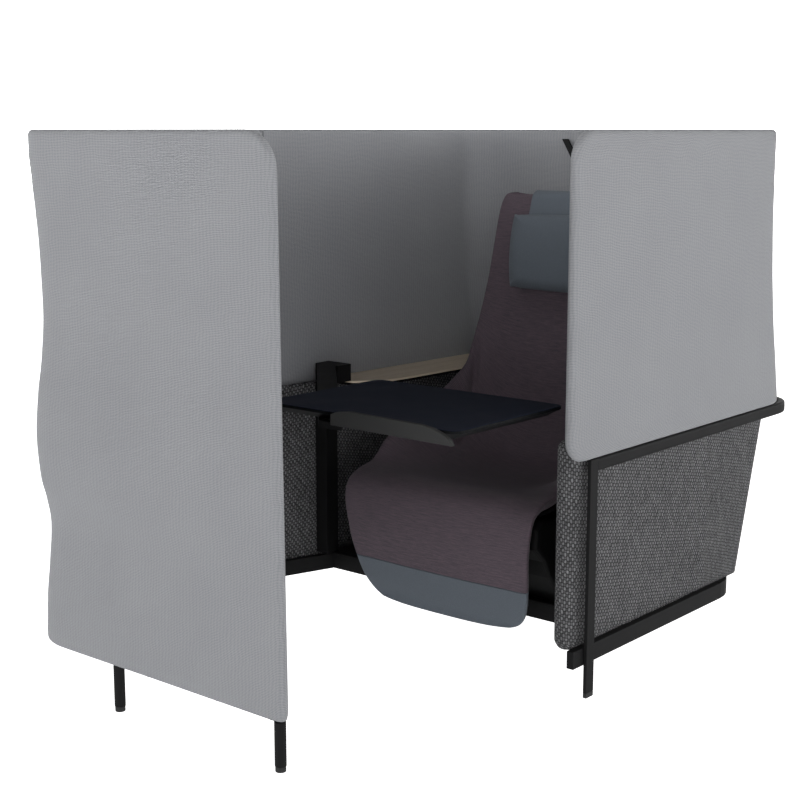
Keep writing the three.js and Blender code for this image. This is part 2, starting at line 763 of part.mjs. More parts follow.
const step_share = 0.004;
function seat_normal(along, across) {
  const before = seat_point(Math.max(along - step_share, 0), across);
  const after = seat_point(Math.min(along + step_share, 1), across);
  const left = seat_point(along, Math.max(across - step_share, -1));
  const right = seat_point(along, Math.min(across + step_share, 1));
  return after.sub(before).cross(right.sub(left)).negate().normalize();
}

function seat_tangent(along) {
  return seat_point(Math.min(along + step_share, 1), 0)
    .sub(seat_point(Math.max(along - step_share, 0), 0)).normalize();
}

// A layer under the seat's surface, between two depths, rounded off at the sides and free ends.
function seat_layer(rows, options) {
  const { from, depth, width_share = 1, end_gap = 0 } = options;
  const { free_start = false, free_end = false, rounded = true } = options;
  const used_columns = columns.filter((across) => Math.abs(across) <= width_share);
  const front = [];
  const back = [];
  rows.forEach((along) => {
    const step_back = seat_tangent(along).multiplyScalar(along === rows.at(-1) ? -end_gap : 0);
    const start_reach = free_start ? THREE.MathUtils.inverseLerp(rows.at(-1), rows[0], along) : 0;
    const end_reach = free_end ? THREE.MathUtils.inverseLerp(rows[0], rows.at(-1), along) : 0;
    const lines = [[], []];
    used_columns.forEach((across) => {
      const reach = Math.max(Math.abs(across), start_reach, end_reach);
      const full = rounded ? Math.sqrt(Math.max(1 - reach ** round_power, 0)) : 1;
      const drawn = across * corner_share(along);
      const surface = seat_point(along, drawn);
      const normal = seat_normal(along, drawn);
      const rim = Math.max(Math.abs(across), start_reach) ** rim_power;
      const middle = from + depth / 2 - rim * (cushion_thickness / 2);
      const half = (depth / 2) * (rim_share + (1 - rim_share) * full);
      [middle - half, middle + half].forEach((down, side) => {
        lines[side].push(surface.clone().addScaledVector(normal, -down).add(step_back));
      });
    });
    front.push(lines[0]);
    back.push(lines[1]);
  });
  return closed_grid(front, back);
}

// Rows close up towards a free end, so that its rounding has enough of them.
function eased(start, end, count) {
  return spread(0, 1, count).map((share) => (
    THREE.MathUtils.lerp(start, end, Math.sin((share * Math.PI) / 2))
  ));
}

const front_rows_list = eased(band_share, 0, front_rows).reverse();
add('seat_front_band', seat_layer(front_rows_list, {
  from: 0, depth: cushion_thickness, free_start: true, end_gap: gap,
}), blue_grey);
const seat_rows_list = spread(band_share, split_share, seat_rows);
add('seat_cushion', seat_layer(seat_rows_list, {
  from: 0, depth: cushion_thickness, end_gap: gap,
}), mauve);
const back_rows_list = eased(split_share, 1, back_rows);
const back_cushion = seat_layer(back_rows_list, { from: 0, depth: cushion_thickness, free_end: true });
add('back_cushion', back_cushion, mauve);

// Black moulded shells under the seat and behind the back.
const shell_width_share = 0.88;
const shell_start_share = 0.27;
const seat_shell_rows = seat_rows_list.filter((along) => along > shell_start_share);
const shell_depth = cushion_thickness + gap;
add('seat_shell', seat_layer(seat_shell_rows, {
  from: shell_depth, depth: shell_wall, width_share: shell_width_share, end_gap: gap, rounded: false,
}), black_plastic);
const shell_end_share = 0.985;
const back_shell_rows = back_rows_list.filter((along) => along < shell_end_share);
add('back_shell', seat_layer(back_shell_rows, {
  from: shell_depth, depth: shell_wall, width_share: shell_width_share, rounded: false,
}), black_plastic);

// Cover under the seat: a moulding on the base plate that carries the shell. Its side view has a
// slanted front and a steep rear, drawn in shares of its reach and of the rise to the seat. Its top
// follows the shell's underside at the seat's middle.
const cover_bottom = plate_top + gap;
const cover_end_share = 0.485;
const cover_depth = shell_depth + shell_wall + gap;
const cover_top = seat_shell_rows.filter((along) => along < cover_end_share).map((along) => {
  return seat_point(along, 0).addScaledVector(seat_normal(along, 0), -cover_depth);
});
const cover_rise = cover_top[0].z - cover_bottom;
const cover_front_shares = [[0.18, 0], [0.06, 0.35], [0.015, 0.55], [-0.05, 0.71], [-0.045, 0.93]];
const cover_rear_shares = [[0.69, 0.5], [0.72, 0]];
function cover_point([back, up]) {
  return new THREE.Vector2(cover_start_y + back * cover_reach, cover_bottom + up * cover_rise);
}
const cover_outline = new THREE.Shape([
  ...cover_front_shares.map(cover_point),
  ...cover_top.map((place) => new THREE.Vector2(place.y, place.z)),
  ...cover_rear_shares.map(cover_point),
]);
const cover = new THREE.ExtrudeGeometry(cover_outline, {
  depth: 2 * (cover_half_width - cover_round),
  bevelThickness: cover_round,
  bevelSize: cover_round,
  bevelOffset: -cover_round,
  bevelSegments: edge_segments,
});
cover.rotateX(Math.PI / 2).rotateZ(Math.PI / 2).translate(cover_round - cover_half_width, 0, 0);
add('seat_cover', cover, black_plastic);

// Headrest: a pad that slides on a strap laid over the back, with a weight behind it.
const straight_low_share = 0.7368;
const straight_high_share = 0.8947;
const straight_low = seat_point(straight_low_share, 0);
const straight_high = seat_point(straight_high_share, 0);
const back_lean = Math.atan2(straight_high.y - straight_low.y, straight_high.z - straight_low.z);
const up_back = new THREE.Vector3(0, Math.sin(back_lean), Math.cos(back_lean));
const out_back = new THREE.Vector3(0, -Math.cos(back_lean), Math.sin(back_lean));
function on_back(z, forward) {
  const along = (z - straight_low.z) / up_back.z;
  return straight_low.clone().addScaledVector(up_back, along).addScaledVector(out_back, forward);
}

// A pad with a flat back and a crowned front: x across, y up the back, z out of it.
const pad_shares = [-1, -0.985, -0.94, -0.85, -0.68, -0.35, 0, 0.35, 0.68, 0.85, 0.94, 0.985, 1];
const pad_corner_share = 0.05;       // how far its corners draw in
const pad_side_share = 0.35;         // of the thickness stands straight up at the rim
const pad_back_share = 0.985;
function pad(width, height, thickness, crown_share) {
  const front = [];
  const back = [];
  pad_shares.forEach((v) => {
    const lines = [[], []];
    pad_shares.forEach((u) => {
      const soften = 1 - pad_corner_share * (u * v) ** 2;
      const rim = Math.max(Math.abs(u), Math.abs(v));
      const full = Math.sqrt(Math.max(1 - rim ** rim_power, 0));
      const crown = 1 - crown_share * (u * u + v * v) / 2;
      const rise = pad_side_share + (1 - pad_side_share) * full * crown;
      const x = (u * width * soften) / 2;
      const y = (v * height * soften) / 2;
      lines[0].push(new THREE.Vector3(x, y, thickness * rise));
      lines[1].push(new THREE.Vector3(x * pad_back_share, y * pad_back_share, 0));
    });
    front.push(lines[0]);
    back.push(lines[1]);
  });
  return closed_grid(front, back);
}
const pad_turn = Math.PI / 2 - back_lean;
const pad_place = on_back(back_top - pad_drop, pad_stand_off);
const pad_crown_share = 0.12;
const weight_crown_share = 0.1;
const headrest = add('headrest_pad', pad(pad_width, pad_height, pad_thickness, pad_crown_share), blue_grey);
headrest.position.copy(pad_place);
headrest.rotation.x = pad_turn;

// The strap's section, drawn in y and z, goes up the front, over the top and down the rear.
const strap_front = strap_lift + strap_thickness / 2;
const strap_back = -(cushion_thickness + gap + shell_wall + strap_room + strap_thickness / 2);
const strap_top = back_top + strap_lift + strap_thickness;
const strap_corners = [
  [on_back(back_top - strap_front_drop, strap_front), 0],
  [on_back(strap_top, strap_front), strap_round],
  [on_back(strap_top + 2 * strap_lift, strap_back), strap_round],
  [on_back(back_top - strap_rear_drop, strap_back), 0],
];
const strap_line = plan_line(strap_corners.map(([place, radius]) => ({ x: place.y, y: place.z, radius })));
const strap = bar_along(strap_line, strap_thickness, strap_width, -strap_width / 2);
strap.applyMatrix4(new THREE.Matrix4().makeBasis(
  new THREE.Vector3(0, 1, 0), new THREE.Vector3(0, 0, 1), new THREE.Vector3(1, 0, 0),
));
add('headrest_strap', strap, blue_grey);
const weight_pad = pad(strap_width, weight_height, weight_thickness, weight_crown_share);
const weight = add('headrest_weight', weight_pad, blue_grey);
const weight_middle_z = back_top - strap_rear_drop + weight_height / 2;
weight.position.copy(on_back(weight_middle_z, strap_back - strap_thickness / 2 - gap));
weight.rotation.x = -Math.PI / 2 - back_lean;

// Side shelf: light wood on top of the right panel, with a curved edge towards the seat.
const shelf_edge_shares = [[0, 0], [0.06, 0.55], [0.13, 0.93], [0.3, 1], [0.62, 0.97], [1, 0.86]];
function shelf_board(thickness, inset) {
  const outline = new THREE.Shape();
  const front_y = shelf_front_y + inset;
  const rear_y = shelf_rear_y - inset;
  const edge = shelf_edge_shares.map(([along, out]) => {
    const y = THREE.MathUtils.lerp(front_y, rear_y, along);
    const depth = THREE.MathUtils.lerp(shelf_depth_front, shelf_depth_middle, out) - inset;
    return new THREE.Vector2(right_inner_x(y) + depth, y);
  });
  outline.moveTo(right_inner_x(front_y), front_y);
  outline.lineTo(edge[0].x, edge[0].y);
  outline.splineThru(edge.slice(1));
  outline.lineTo(right_inner_x(rear_y), rear_y);
  return new THREE.ExtrudeGeometry(outline, {
    depth: thickness, bevelEnabled: false, curveSegments: shelf_segments,
  });
}
const shelf_bottom = shelf_top - shelf_thickness;
const carrier_bottom = shelf_bottom - gap - carrier_thickness;
add('side_shelf', shelf_board(shelf_thickness, 0).translate(0, 0, shelf_bottom), maple);
const shelf_carrier = shelf_board(carrier_thickness, carrier_inset).translate(0, 0, carrier_bottom);
add('shelf_carrier', shelf_carrier, black_plastic);

// Column: the upright at the wing's seam that carries the work surface's arm on a pin.
const column_rear_x = column_face_x - column_width;
const pin_x = column_face_x - column_width / 2;
const pin_y = column_front_y + column_depth / 2;
const column = box(
  [column_rear_x, column_front_y, plate_top + gap],
  [column_face_x, column_rear_y, column_top],
);
const pin_bottom = column_top - pin_sink;
const pin_top = column_top + pin_sink;
const pin_hole_radius = arm_pin_radius + running_clearance;
const pin_hole = round_bar(pin_hole_radius, 2 * (pin_sink + gap), pin_x, pin_y, pin_bottom - gap);
add('surface_column', cut(column, pin_hole), black_steel);
add('arm_pin', round_bar(arm_pin_radius, pin_top - pin_bottom, pin_x, pin_y, pin_bottom), black_steel);

// Arm: one casting. Its square hub turns on the pin, and it bends at the elbow and runs on under
// the top, where its nose falls away in a curve.
const hub_left_x = column_face_x + hub_overhang;
const hub = box(
  [hub_left_x - hub_width, column_front_y + hub_setback, column_top + gap],
  [hub_left_x, column_front_y + hub_setback + hub_depth, hub_top],
);
const arm_line = plan_line([{ x: pin_x, y: pin_y }, { x: arm_end_x, y: arm_end_y }]);
const arm_bar = bar_along(arm_line, arm_width, arm_thickness, hub_top - arm_thickness);
const arm_trim = box(
  [arm_end_x - 2 * arm_width, arm_end_y - 2 * arm_width, column_top],
  [arm_end_x + 2 * arm_width, surface_rail_y + surface_rail_width + gap, surface_top],
);
const arm_with_hub = to_manifold(arm_bar).add(to_manifold(hub));
const arm_cuts = to_manifold(pin_hole).add(to_manifold(arm_trim));
add('surface_arm', from_manifold(arm_with_hub.subtract(arm_cuts)), black_steel);

// Rail along the top's far edge: its end towards the entrance falls away in a curve. Its front
// view is drawn in shares of its length and height.
const surface_rail_shares = [
  [1, 0], [0.97, 0.33], [0.91, 0.62], [0.84, 0.82], [0.76, 0.92], [0.16, 1], [0.05, 0.87], [0, 0.69],
  [0, 0.06],
];
const surface_rail_outline = new THREE.Shape(surface_rail_shares.map(([along, up]) => new THREE.Vector2(
  surface_rail_x + along * surface_rail_length,
  surface_rail_bottom + up * surface_rail_height,
)));
const surface_rail = new THREE.ExtrudeGeometry(surface_rail_outline, {
  depth: surface_rail_width, bevelEnabled: false,
});
surface_rail.rotateX(Math.PI / 2).translate(0, surface_rail_y + surface_rail_width, 0);
add('surface_rail', surface_rail, dark_grey);

// The top's rings, from its small underside out to the edge and up: an inset and a height each.
function surface_ring(inset, height) {
  const ring = [];
  const corner = Math.max(surface_corner - inset, surface_arris);
  [[1, -1], [1, 1], [-1, 1], [-1, -1]].forEach(([side_x, side_y], quarter) => {
    spread(quarter - 1, quarter, corner_steps).forEach((share) => {
      const angle = (share * Math.PI) / 2;
      const x = side_x * (surface_width / 2 - inset - corner) + corner * Math.cos(angle);
      const y = side_y * (surface_depth / 2 - inset - corner) + corner * Math.sin(angle);
      ring.push(new THREE.Vector3(x, y, height));
    });
  });
  return ring;
}

// A solid of stacked rings, each end closed by a fan round its middle.
function stacked(rings) {
  const count = rings[0].length;
  const points = rings.flat();
  const index = [];
  rings.slice(1).forEach((ring, level) => {
    ring.forEach((point, k) => {
      const next = (k + 1) % count;
      const low = level * count;
      const high = low + count;
      index.push(low + k, low + next, high + next, low + k, high + next, high + k);
    });
  });
  [0, rings.length - 1].forEach((level) => {
    const middle = points.length;
    points.push(new THREE.Vector3(0, 0, rings[level][0].z));
    rings[level].forEach((point, k) => {
      const [a, b] = [level * count + k, level * count + ((k + 1) % count)];
      index.push(middle, ...(level ? [a, b] : [b, a]));
    });
  });
  const geometry = new THREE.BufferGeometry().setFromPoints(points);
  geometry.setIndex(index);
  return outward(geometry);
}
const surface = stacked([
  surface_ring(surface_undercut, 0),
  surface_ring(0, surface_thickness - surface_edge),
  surface_ring(0, surface_thickness - surface_arris),
  surface_ring(surface_arris, surface_thickness),
]);
add('work_surface', surface, navy, surface_x, surface_y, surface_top - surface_thickness);

// Reading light: a block on the back screen's inner face, a slanted flat arm, its ends cut level, and
// a light bar with a lens.
const back_inner_y = lounge_rear_y - lounge_lean - screen_thickness;
const lamp_block_y = back_inner_y - gap - lamp_block_depth;
const lamp_arm_y = lamp_block_y - gap - lamp_arm_depth;
const lamp_pin_front_y = lamp_arm_y + gap;
function pin_along_y(radius, front_y, rear_y, x, z) {
  const pin = new THREE.CylinderGeometry(radius, radius, rear_y - front_y, pin_sides);
  return pin.translate(x, (front_y + rear_y) / 2, z);
}
const lamp_hole_radius = lamp_pin_radius + running_clearance;
const lamp_pin_rear_y = lamp_block_y + lamp_block_depth - gap;
const block_hole_front_y = lamp_block_y - overrun;
const block_hole_rear_y = lamp_pin_rear_y + gap;
const lamp_block = box(
  [lamp_x - lamp_block_width / 2, lamp_block_y, lamp_z - lamp_block_width / 2],
  [lamp_x + lamp_block_width / 2, lamp_block_y + lamp_block_depth, lamp_z + lamp_block_width / 2],
);
const block_hole = pin_along_y(lamp_hole_radius, block_hole_front_y, block_hole_rear_y, lamp_x, lamp_z);
add('lamp_block', cut(lamp_block, block_hole), black_plastic);
add('lamp_pin', pin_along_y(lamp_pin_radius, lamp_pin_front_y, lamp_pin_rear_y, lamp_x, lamp_z), black_steel);
const lamp_half_width = lamp_arm_width / 2 / Math.sin(lamp_arm_slope);
const lamp_end_x = lamp_x + lamp_arm_length * Math.cos(lamp_arm_slope);
const lamp_end_z = lamp_z - lamp_arm_length * Math.sin(lamp_arm_slope);
const lamp_head_x = lamp_x - lamp_arm_head / Math.tan(lamp_arm_slope);
const lamp_head_z = lamp_z + lamp_arm_head;
const lamp_arm_outline = new THREE.Shape([
  new THREE.Vector2(lamp_head_x - lamp_half_width, lamp_head_z),
  new THREE.Vector2(lamp_end_x - lamp_half_width, lamp_end_z),
  new THREE.Vector2(lamp_end_x + lamp_half_width, lamp_end_z),
  new THREE.Vector2(lamp_head_x + lamp_half_width, lamp_head_z),
]);
const lamp_arm = new THREE.ExtrudeGeometry(lamp_arm_outline, { depth: lamp_arm_depth, bevelEnabled: false });
lamp_arm.rotateX(Math.PI / 2).translate(0, lamp_arm_y + lamp_arm_depth, 0);
const arm_hole = pin_along_y(lamp_hole_radius, lamp_arm_y - overrun, lamp_block_y, lamp_x, lamp_z);
add('lamp_arm', cut(lamp_arm, arm_hole), black_plastic);
const light_bar_top = lamp_end_z - gap;
const light_bar_bottom = light_bar_top - lamp_bar_height;
add('light_bar', box(
  [lamp_end_x - lamp_half_width, lamp_arm_y, light_bar_bottom],
  [lamp_end_x + lamp_bar_length, lamp_arm_y + lamp_bar_height, light_bar_top],
), black_plastic);
const lens_top = light_bar_bottom - gap;
add('light_lens', box(
  [lamp_end_x + lens_inset, lamp_arm_y + lens_thickness, lens_top - lens_thickness],
  [lamp_end_x + lamp_bar_length - lens_inset, lamp_arm_y + lamp_bar_height - lens_thickness, lens_top],
), diffuser);

// The part's origin is under the middle of its outline, on the floor.
const middle = new THREE.Box3().setFromObject(chair, true).getCenter(new THREE.Vector3());
chair.position.set(-middle.x, -middle.y, 0);

export default chair;
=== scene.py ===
import math
from functools import partial

import bmesh
import bpy
import numpy as np
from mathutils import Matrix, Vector


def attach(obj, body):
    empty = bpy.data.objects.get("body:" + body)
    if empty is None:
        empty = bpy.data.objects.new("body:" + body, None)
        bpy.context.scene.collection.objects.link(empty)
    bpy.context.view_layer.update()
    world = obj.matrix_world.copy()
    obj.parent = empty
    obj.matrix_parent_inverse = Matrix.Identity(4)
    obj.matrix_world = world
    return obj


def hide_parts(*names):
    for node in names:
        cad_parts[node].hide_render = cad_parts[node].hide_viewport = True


# An acoustic high back lounge chair. Drawing sizes are in millimetres: x to the sitter's left from the
# seat's middle, y to the rear from the wing screen's face, z up from the floor.
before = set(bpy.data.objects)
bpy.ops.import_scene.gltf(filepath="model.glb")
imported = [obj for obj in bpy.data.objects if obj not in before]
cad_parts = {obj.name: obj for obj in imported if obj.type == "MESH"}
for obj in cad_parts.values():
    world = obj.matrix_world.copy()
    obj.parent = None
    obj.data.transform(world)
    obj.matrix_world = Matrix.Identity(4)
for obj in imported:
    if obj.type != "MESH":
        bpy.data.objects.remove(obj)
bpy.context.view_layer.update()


# Steel frame: welded bars of 18 x 42 mm for the base and 18 x 30 mm for the middle rail, round legs
# and a flat entrance post, cut and welded, then powder coated matt black.
def placed(points):
    """Drawing points in millimetres, as an array in metres in the row frame."""
    return (np.asarray(points, float) + (51.391, -892.752, 0.0)) / 1000.0


def photographed(red, green, blue):
    """A colour read off the photograph, as the shader's linear one."""
    parts = [value / 255 for value in (red, green, blue)]
    return [p / 12.92 if p <= 0.04045 else ((p + 0.055) / 1.055) ** 2.4 for p in parts] + [1.0]


def put(tree, kind, settings=(), **inputs):
    """The outputs of a new node in a tree. An input that is a socket is linked, any other is set."""
    made = tree.nodes.new(kind)
    for key, value in dict(settings).items():
        setattr(made, key, value)
    for key, value in inputs.items():
        socket = made.inputs[int(key[1:]) if key[1:].isdigit() else key.replace("_", " ")]
        if isinstance(value, bpy.types.NodeSocket):
            tree.links.new(value, socket)
        else:
            socket.default_value = value
    return made.outputs


def sum_of(tree, operation, *values):
    """The result of a Math node on the given values or sockets."""
    given = {f"i{number}": value for number, value in enumerate(values)}
    return put(tree, "ShaderNodeMath", {"operation": operation}, **given)[0]


def noise(tree, place, scale, detail=2.0, **more):
    """The value of a noise at a place."""
    return put(tree, "ShaderNodeTexNoise", Vector=place, Scale=scale, Detail=detail, **more)[0]


def ranged(tree, value, **ends):
    """A value moved from one range to another, and kept within it."""
    return put(tree, "ShaderNodeMapRange", Value=value, **ends)[0]


def blended(tree, share, dark, light):
    """A colour between two, by a share. Each is a socket, or red, green and blue as photographed."""
    ends = [photographed(*end) if isinstance(end, tuple) else end for end in (dark, light)]
    return put(tree, "ShaderNodeMix", {"data_type": "RGBA"}, i0=share, i6=ends[0], i7=ends[1])[2]


def surfaced(tree, shader, colour, height, strength, distance):
    """Gives a shader its colour and the relief of its surface."""
    relief = put(tree, "ShaderNodeBump", Strength=strength, Distance=distance, Height=height)
    tree.links.new(colour, shader.inputs["Base Color"])
    tree.links.new(relief[0], shader.inputs["Normal"])


def new_material(name, roughness, metallic=0.0, specular=0.5, sheen=0.0, sheen_roughness=0.5):
    """A material with its shader, whose plain values are set on its own sockets."""
    material = bpy.data.materials.new(name)
    material.use_nodes = True
    shader = material.node_tree.nodes["Principled BSDF"]
    shader.inputs["Roughness"].default_value = roughness
    shader.inputs["Metallic"].default_value = metallic
    shader.inputs["Specular IOR Level"].default_value = specular
    shader.inputs["Sheen Weight"].default_value = sheen
    shader.inputs["Sheen Roughness"].default_value = sheen_roughness
    return material, material.node_tree, shader


def new_group(name, kind, inputs, outputs):
    """An empty node group with named sockets, what it is given and what it gives."""
    group = bpy.data.node_groups.new(name, kind)
    for way, sockets in (("INPUT", inputs), ("OUTPUT", outputs)):
        for label, value in sockets.items():
            group.interface.new_socket(label, in_out=way, socket_type="NodeSocket" + value)
    return group, group.nodes.new("NodeGroupInput").outputs, group.nodes.new("NodeGroupOutput").inputs


grain_group, grain_in, grain_out = new_group(
    "moulded_grain", "ShaderNodeTree",
    {"Place": "Vector", "Grain Size": "Float"}, {"Height": "Float", "Cloud": "Float"},
)
grain_scale = sum_of(grain_group, "DIVIDE", 1.0, grain_in["Grain Size"])
for label, scale, detail in (("Height", grain_scale, 3.0), ("Cloud", 9.0, 4.0)):
    grain_group.links.new(noise(grain_group, grain_in["Place"], scale, detail), grain_out[label])


def coated(name, dark, light, rough, grain_size, bump, metallic=0.0, specular=0.5):
    """A coated or moulded finish: two near colours in clouds, uneven gloss and a fine grain."""
    material, tree, shader = new_material(name, rough, metallic, specular)
    place = put(tree, "ShaderNodeTexCoord")["Object"]
    grain = put(tree, "ShaderNodeGroup", {"node_tree": grain_group}, Place=place, Grain_Size=grain_size)
    colour = blended(tree, grain["Cloud"], dark, light)
    gloss = ranged(tree, grain["Cloud"], To_Min=rough - 0.07, To_Max=rough + 0.07)
    tree.links.new(gloss, shader.inputs["Roughness"])
    surfaced(tree, shader, colour, grain["Height"], bump, grain_size * 0.3)
    return material


def dress(names, material, edge):
    """Gives CAD nodes, named in one line of words, their finish, and their sharp edges a small round."""
    weld_distance, sharp_angle = 0.00002, math.radians(32)
    for name in names.split():
        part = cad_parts[name]
        part.data.materials.clear()
        part.data.materials.append(material)
        part.modifiers.new("joined", "WELD").merge_threshold = weld_distance
        rounding = part.modifiers.new("edges", "BEVEL")
        rounding.width = edge
        rounding.segments = 2
        rounding.limit_method = "ANGLE"
        rounding.angle_limit = sharp_angle
        rounding.harden_normals = True


powder_coat = coated(
    "black_powder_coat", (21, 21, 22), (26, 26, 27), 0.6, grain_size=0.0009, bump=0.25, specular=0.15
)
dress(
    "base_front_beam base_cross_beam base_rail_left base_rail_right base_rail_rear base_rail_flare "
    "base_plate leg_wing_near leg_wing_far leg_rear_left leg_rear_right entrance_post middle_rail "
    "wing_sill panel_bracket_front panel_bracket_rear rail_tie_left rail_tie_right",
    powder_coat, edge=0.0009,
)


# Glides: turned feet of a dark plastic under the five legs. Each is pressed into its leg's tube, and its
# lower edge is softened, so that it slides on a carpet.
glide_plastic = coated("glide_plastic", (26, 26, 27), (34, 34, 34), 0.62, grain_size=0.0006, bump=0.2)
dress(
    "glide_wing_near glide_wing_far glide_rear_left glide_rear_right glide_entrance",
    glide_plastic, edge=0.0012,
)


# Knitted screens: a 25 mm foam board in a grey knitted sleeve. The wing is full height and draws in
# between its hoops; the lounge screen is a U on the middle rail whose back stands forward at the top.
def plan_line(*corners):
    """A line in plan through corners, each an (x, y, radius) rounded by its own radius."""
    places = [np.array(corner[:2], float) for corner in corners]
    pieces, here = [], places[0]
    for before, at, after, corner in zip(places, places[1:], places[2:], corners[1:]):
        way_in, way_out = at - before, after - at
        way_in, way_out = way_in / np.linalg.norm(way_in), way_out / np.linalg.norm(way_out)
        side = np.sign(way_in[0] * way_out[1] - way_in[1] * way_out[0])
        angle = math.acos(way_in @ way_out)
        start = at - way_in * corner[2] * math.tan(angle / 2)
        centre = start + np.array([-way_in[1], way_in[0]]) * side * corner[2]
        turn = math.atan2(*(start - centre)[::-1])
        pieces.append(("straight", here, start))
        pieces.append(("bend", centre, corner[2], turn, side * angle))
        end = turn + side * angle
        here = centre + corner[2] * np.array([math.cos(end), math.sin(end)])
    pieces.append(("straight", here, places[-1]))
    return pieces


def length_of(piece):
    """The length of one straight or bend."""
    return np.linalg.norm(piece[2] - piece[1]) if piece[0] == "straight" else abs(piece[2] * piece[4])


def walk(line, distance):
    """The point at a distance along a plan line, and the normal to its left."""
    for piece in line:
        length = length_of(piece)
        if distance <= length or piece is line[-1]:
            share = min(max(distance / length, 0.0), 1.0)
            if piece[0] == "straight":
                ahead = (piece[2] - piece[1]) / length
                return piece[1] + ahead * share * length, np.array([-ahead[1], ahead[0]])
            angle = piece[3] + piece[4] * share
            out = np.array([math.cos(angle), math.sin(angle)])
            return piece[1] + piece[2] * out, -out * np.sign(piece[4])
        distance -= length


def smooth_table(rows, places):
    """Values at places in a table of (place, value) rows, on a curve without overshoot."""
    keys, values = np.array(rows, float).T
    steps = np.diff(keys)
    slopes = np.diff(values) / steps
    tangents = np.zeros(len(keys))
    same = slopes[:-1] * slopes[1:] > 0
    tangents[1:-1][same] = 2 * slopes[:-1][same] * slopes[1:][same] / (slopes[:-1] + slopes[1:])[same]
    places = np.clip(places, keys[0], keys[-1])
    low = np.clip(np.searchsorted(keys, places, side="right") - 1, 0, len(keys) - 2)
    share = (places - keys[low]) / steps[low]
    rise = values[low] * (2 * share**3 - 3 * share**2 + 1) + values[low + 1] * (3 * share**2 - 2 * share**3)
    return rise + steps[low] * (
        tangents[low] * (share**3 - 2 * share**2 + share) + tangents[low + 1] * (share**3 - share**2)
    )


def rim_steps(start, end, step, rim_start, rim_end):
    """Distances from start to end: even steps, closing up over a round rim at either end."""
    turns = 1 - np.cos(np.radians([0, 14, 28, 42, 57, 73, 90]))
    count = max(int((end - start - rim_start - rim_end) / step), 2)
    middle = np.linspace(start + rim_start, end - rim_end, count + 1)
    return np.concatenate([start + rim_start * turns[:-1], middle, end - rim_end * turns[:-1][::-1]])


def stood(name, data):
    """An object of the given data, in the scene."""
    made = bpy.data.objects.new(name, data)
    bpy.context.scene.collection.objects.link(made)
    return made


def mesh_object(name, points, faces, uvs, material):
    """A smooth mesh from drawing points, with its flat pattern in metres as its UV map."""
    mesh = bpy.data.meshes.new(name)
    mesh.from_pydata(placed(points).tolist(), [], faces)
    pattern = mesh.uv_layers.new(name="pattern")
    corners = np.empty(len(mesh.loops), int)
    mesh.loops.foreach_get("vertex_index", corners)
    pattern.data.foreach_set("uv", np.asarray(uvs, float)[corners].ravel())
    shaped = bmesh.new()
    shaped.from_mesh(mesh)
    bmesh.ops.remove_doubles(shaped, verts=shaped.verts, dist=0.00004)
    bmesh.ops.dissolve_degenerate(shaped, edges=shaped.edges, dist=0.00001)
    bmesh.ops.recalc_face_normals(shaped, faces=shaped.faces)
    shaped.to_mesh(mesh)
    shaped.free()
    mesh.polygons.foreach_set("use_smooth", [True] * len(mesh.polygons))
    mesh.materials.append(material)
    return stood(name, mesh)


def two_grids(rows, columns):
    """Empty grids for a front, a back and their flat pattern."""
    return [np.zeros((len(rows), len(columns), size)) for size in (3, 3, 2)]


def two_sided(name, front, back, uv, material, uv_back=None):
    """A mesh of two grids of the same size that meet along their rims."""
    rows, columns = front.shape[:2]
    points = np.concatenate([front.reshape(-1, 3), back.reshape(-1, 3)])
    uvs = np.concatenate([uv.reshape(-1, 2), (uv if uv_back is None else uv_back).reshape(-1, 2)])
    faces = []
    for side in (0, rows * columns):
        for i in range(rows - 1):
            for j in range(columns - 1):
                a = side + i * columns + j
                quad = (a, a + 1, a + columns + 1, a + columns)
                faces.append(quad if side else quad[::-1])
    return mesh_object(name, points, faces, uvs, material)


def covered_board(name, line, material, thick, foot, top, rims, shift, corners=(0, 0), lean=0, trim=None):
    """An upholstered board along a plan line. rims are the rounds at its first edge, last edge, foot and
    top; shift moves a point in plan; corners are the radii of the first edge's upper and lower corner,
    and lean its slant; trim fits the finished points to what they stand on."""
    length, step = sum(map(length_of, line)), 13
    heights, along = rim_steps(foot, top, step, *rims[2:]), rim_steps(0, length, step, *rims[:2])
    front, back, uv = two_grids(heights, along)
    uv_back = uv.copy()

    def drawn_in(radius, distance):
        return radius - math.sqrt(radius**2 - (radius - distance) ** 2) if distance < radius else 0.0

    def swell(distance, rim):
        return math.sqrt(max(1 - (1 - min(distance, rim) / rim) ** 2, 0.0)) if rim else 1.0

    def taken_up(distance, rim):
        """The cloth that a round rim takes up beyond its flat depth, from a point inside it."""
        turned = math.acos(1 - min(max(distance, 0), rim) / rim)
        return (rim + thick / 2) / 2 * (math.pi / 2 - turned) - (rim - min(distance, rim))

    for i, z in enumerate(heights):
        start = drawn_in(corners[0], top - z) + drawn_in(corners[1], z - foot)
        slant = lean * (z - foot) / (top - foot)
        for j, s in enumerate(along):
            reach = start + slant + s * (length - start - slant) / length
            inside = reach - slant
            for radius, edge in zip(corners, (top - z, z - foot)):
                if radius and edge < radius and reach - slant < radius:
                    inside = min(inside, radius - math.hypot(radius - reach + slant, radius - edge))
            full = min(map(swell, (inside, length - s, z - foot, top - z), rims))
            point, normal = walk(line, reach)
            moved = point + shift(reach / length, z, point, normal)
            half = thick / 2 * full
            front[i, j] = (*(moved + normal * half), z)
            back[i, j] = (*(moved - normal * half), z)
            edge_u = reach - taken_up(inside, rims[0])
            edge_v = z + taken_up(top - z, rims[3]) - taken_up(z - foot, rims[2])
            rim_u = start + slant - taken_up(0, rims[0])
            uv[i, j] = (edge_u / 1000, edge_v / 1000)
            uv_back[i, j] = ((2 * rim_u - edge_u) / 1000, edge_v / 1000)
    if trim:
        front, back = trim(front), trim(back)
    return two_sided(name, front, back, uv, material, uv_back)


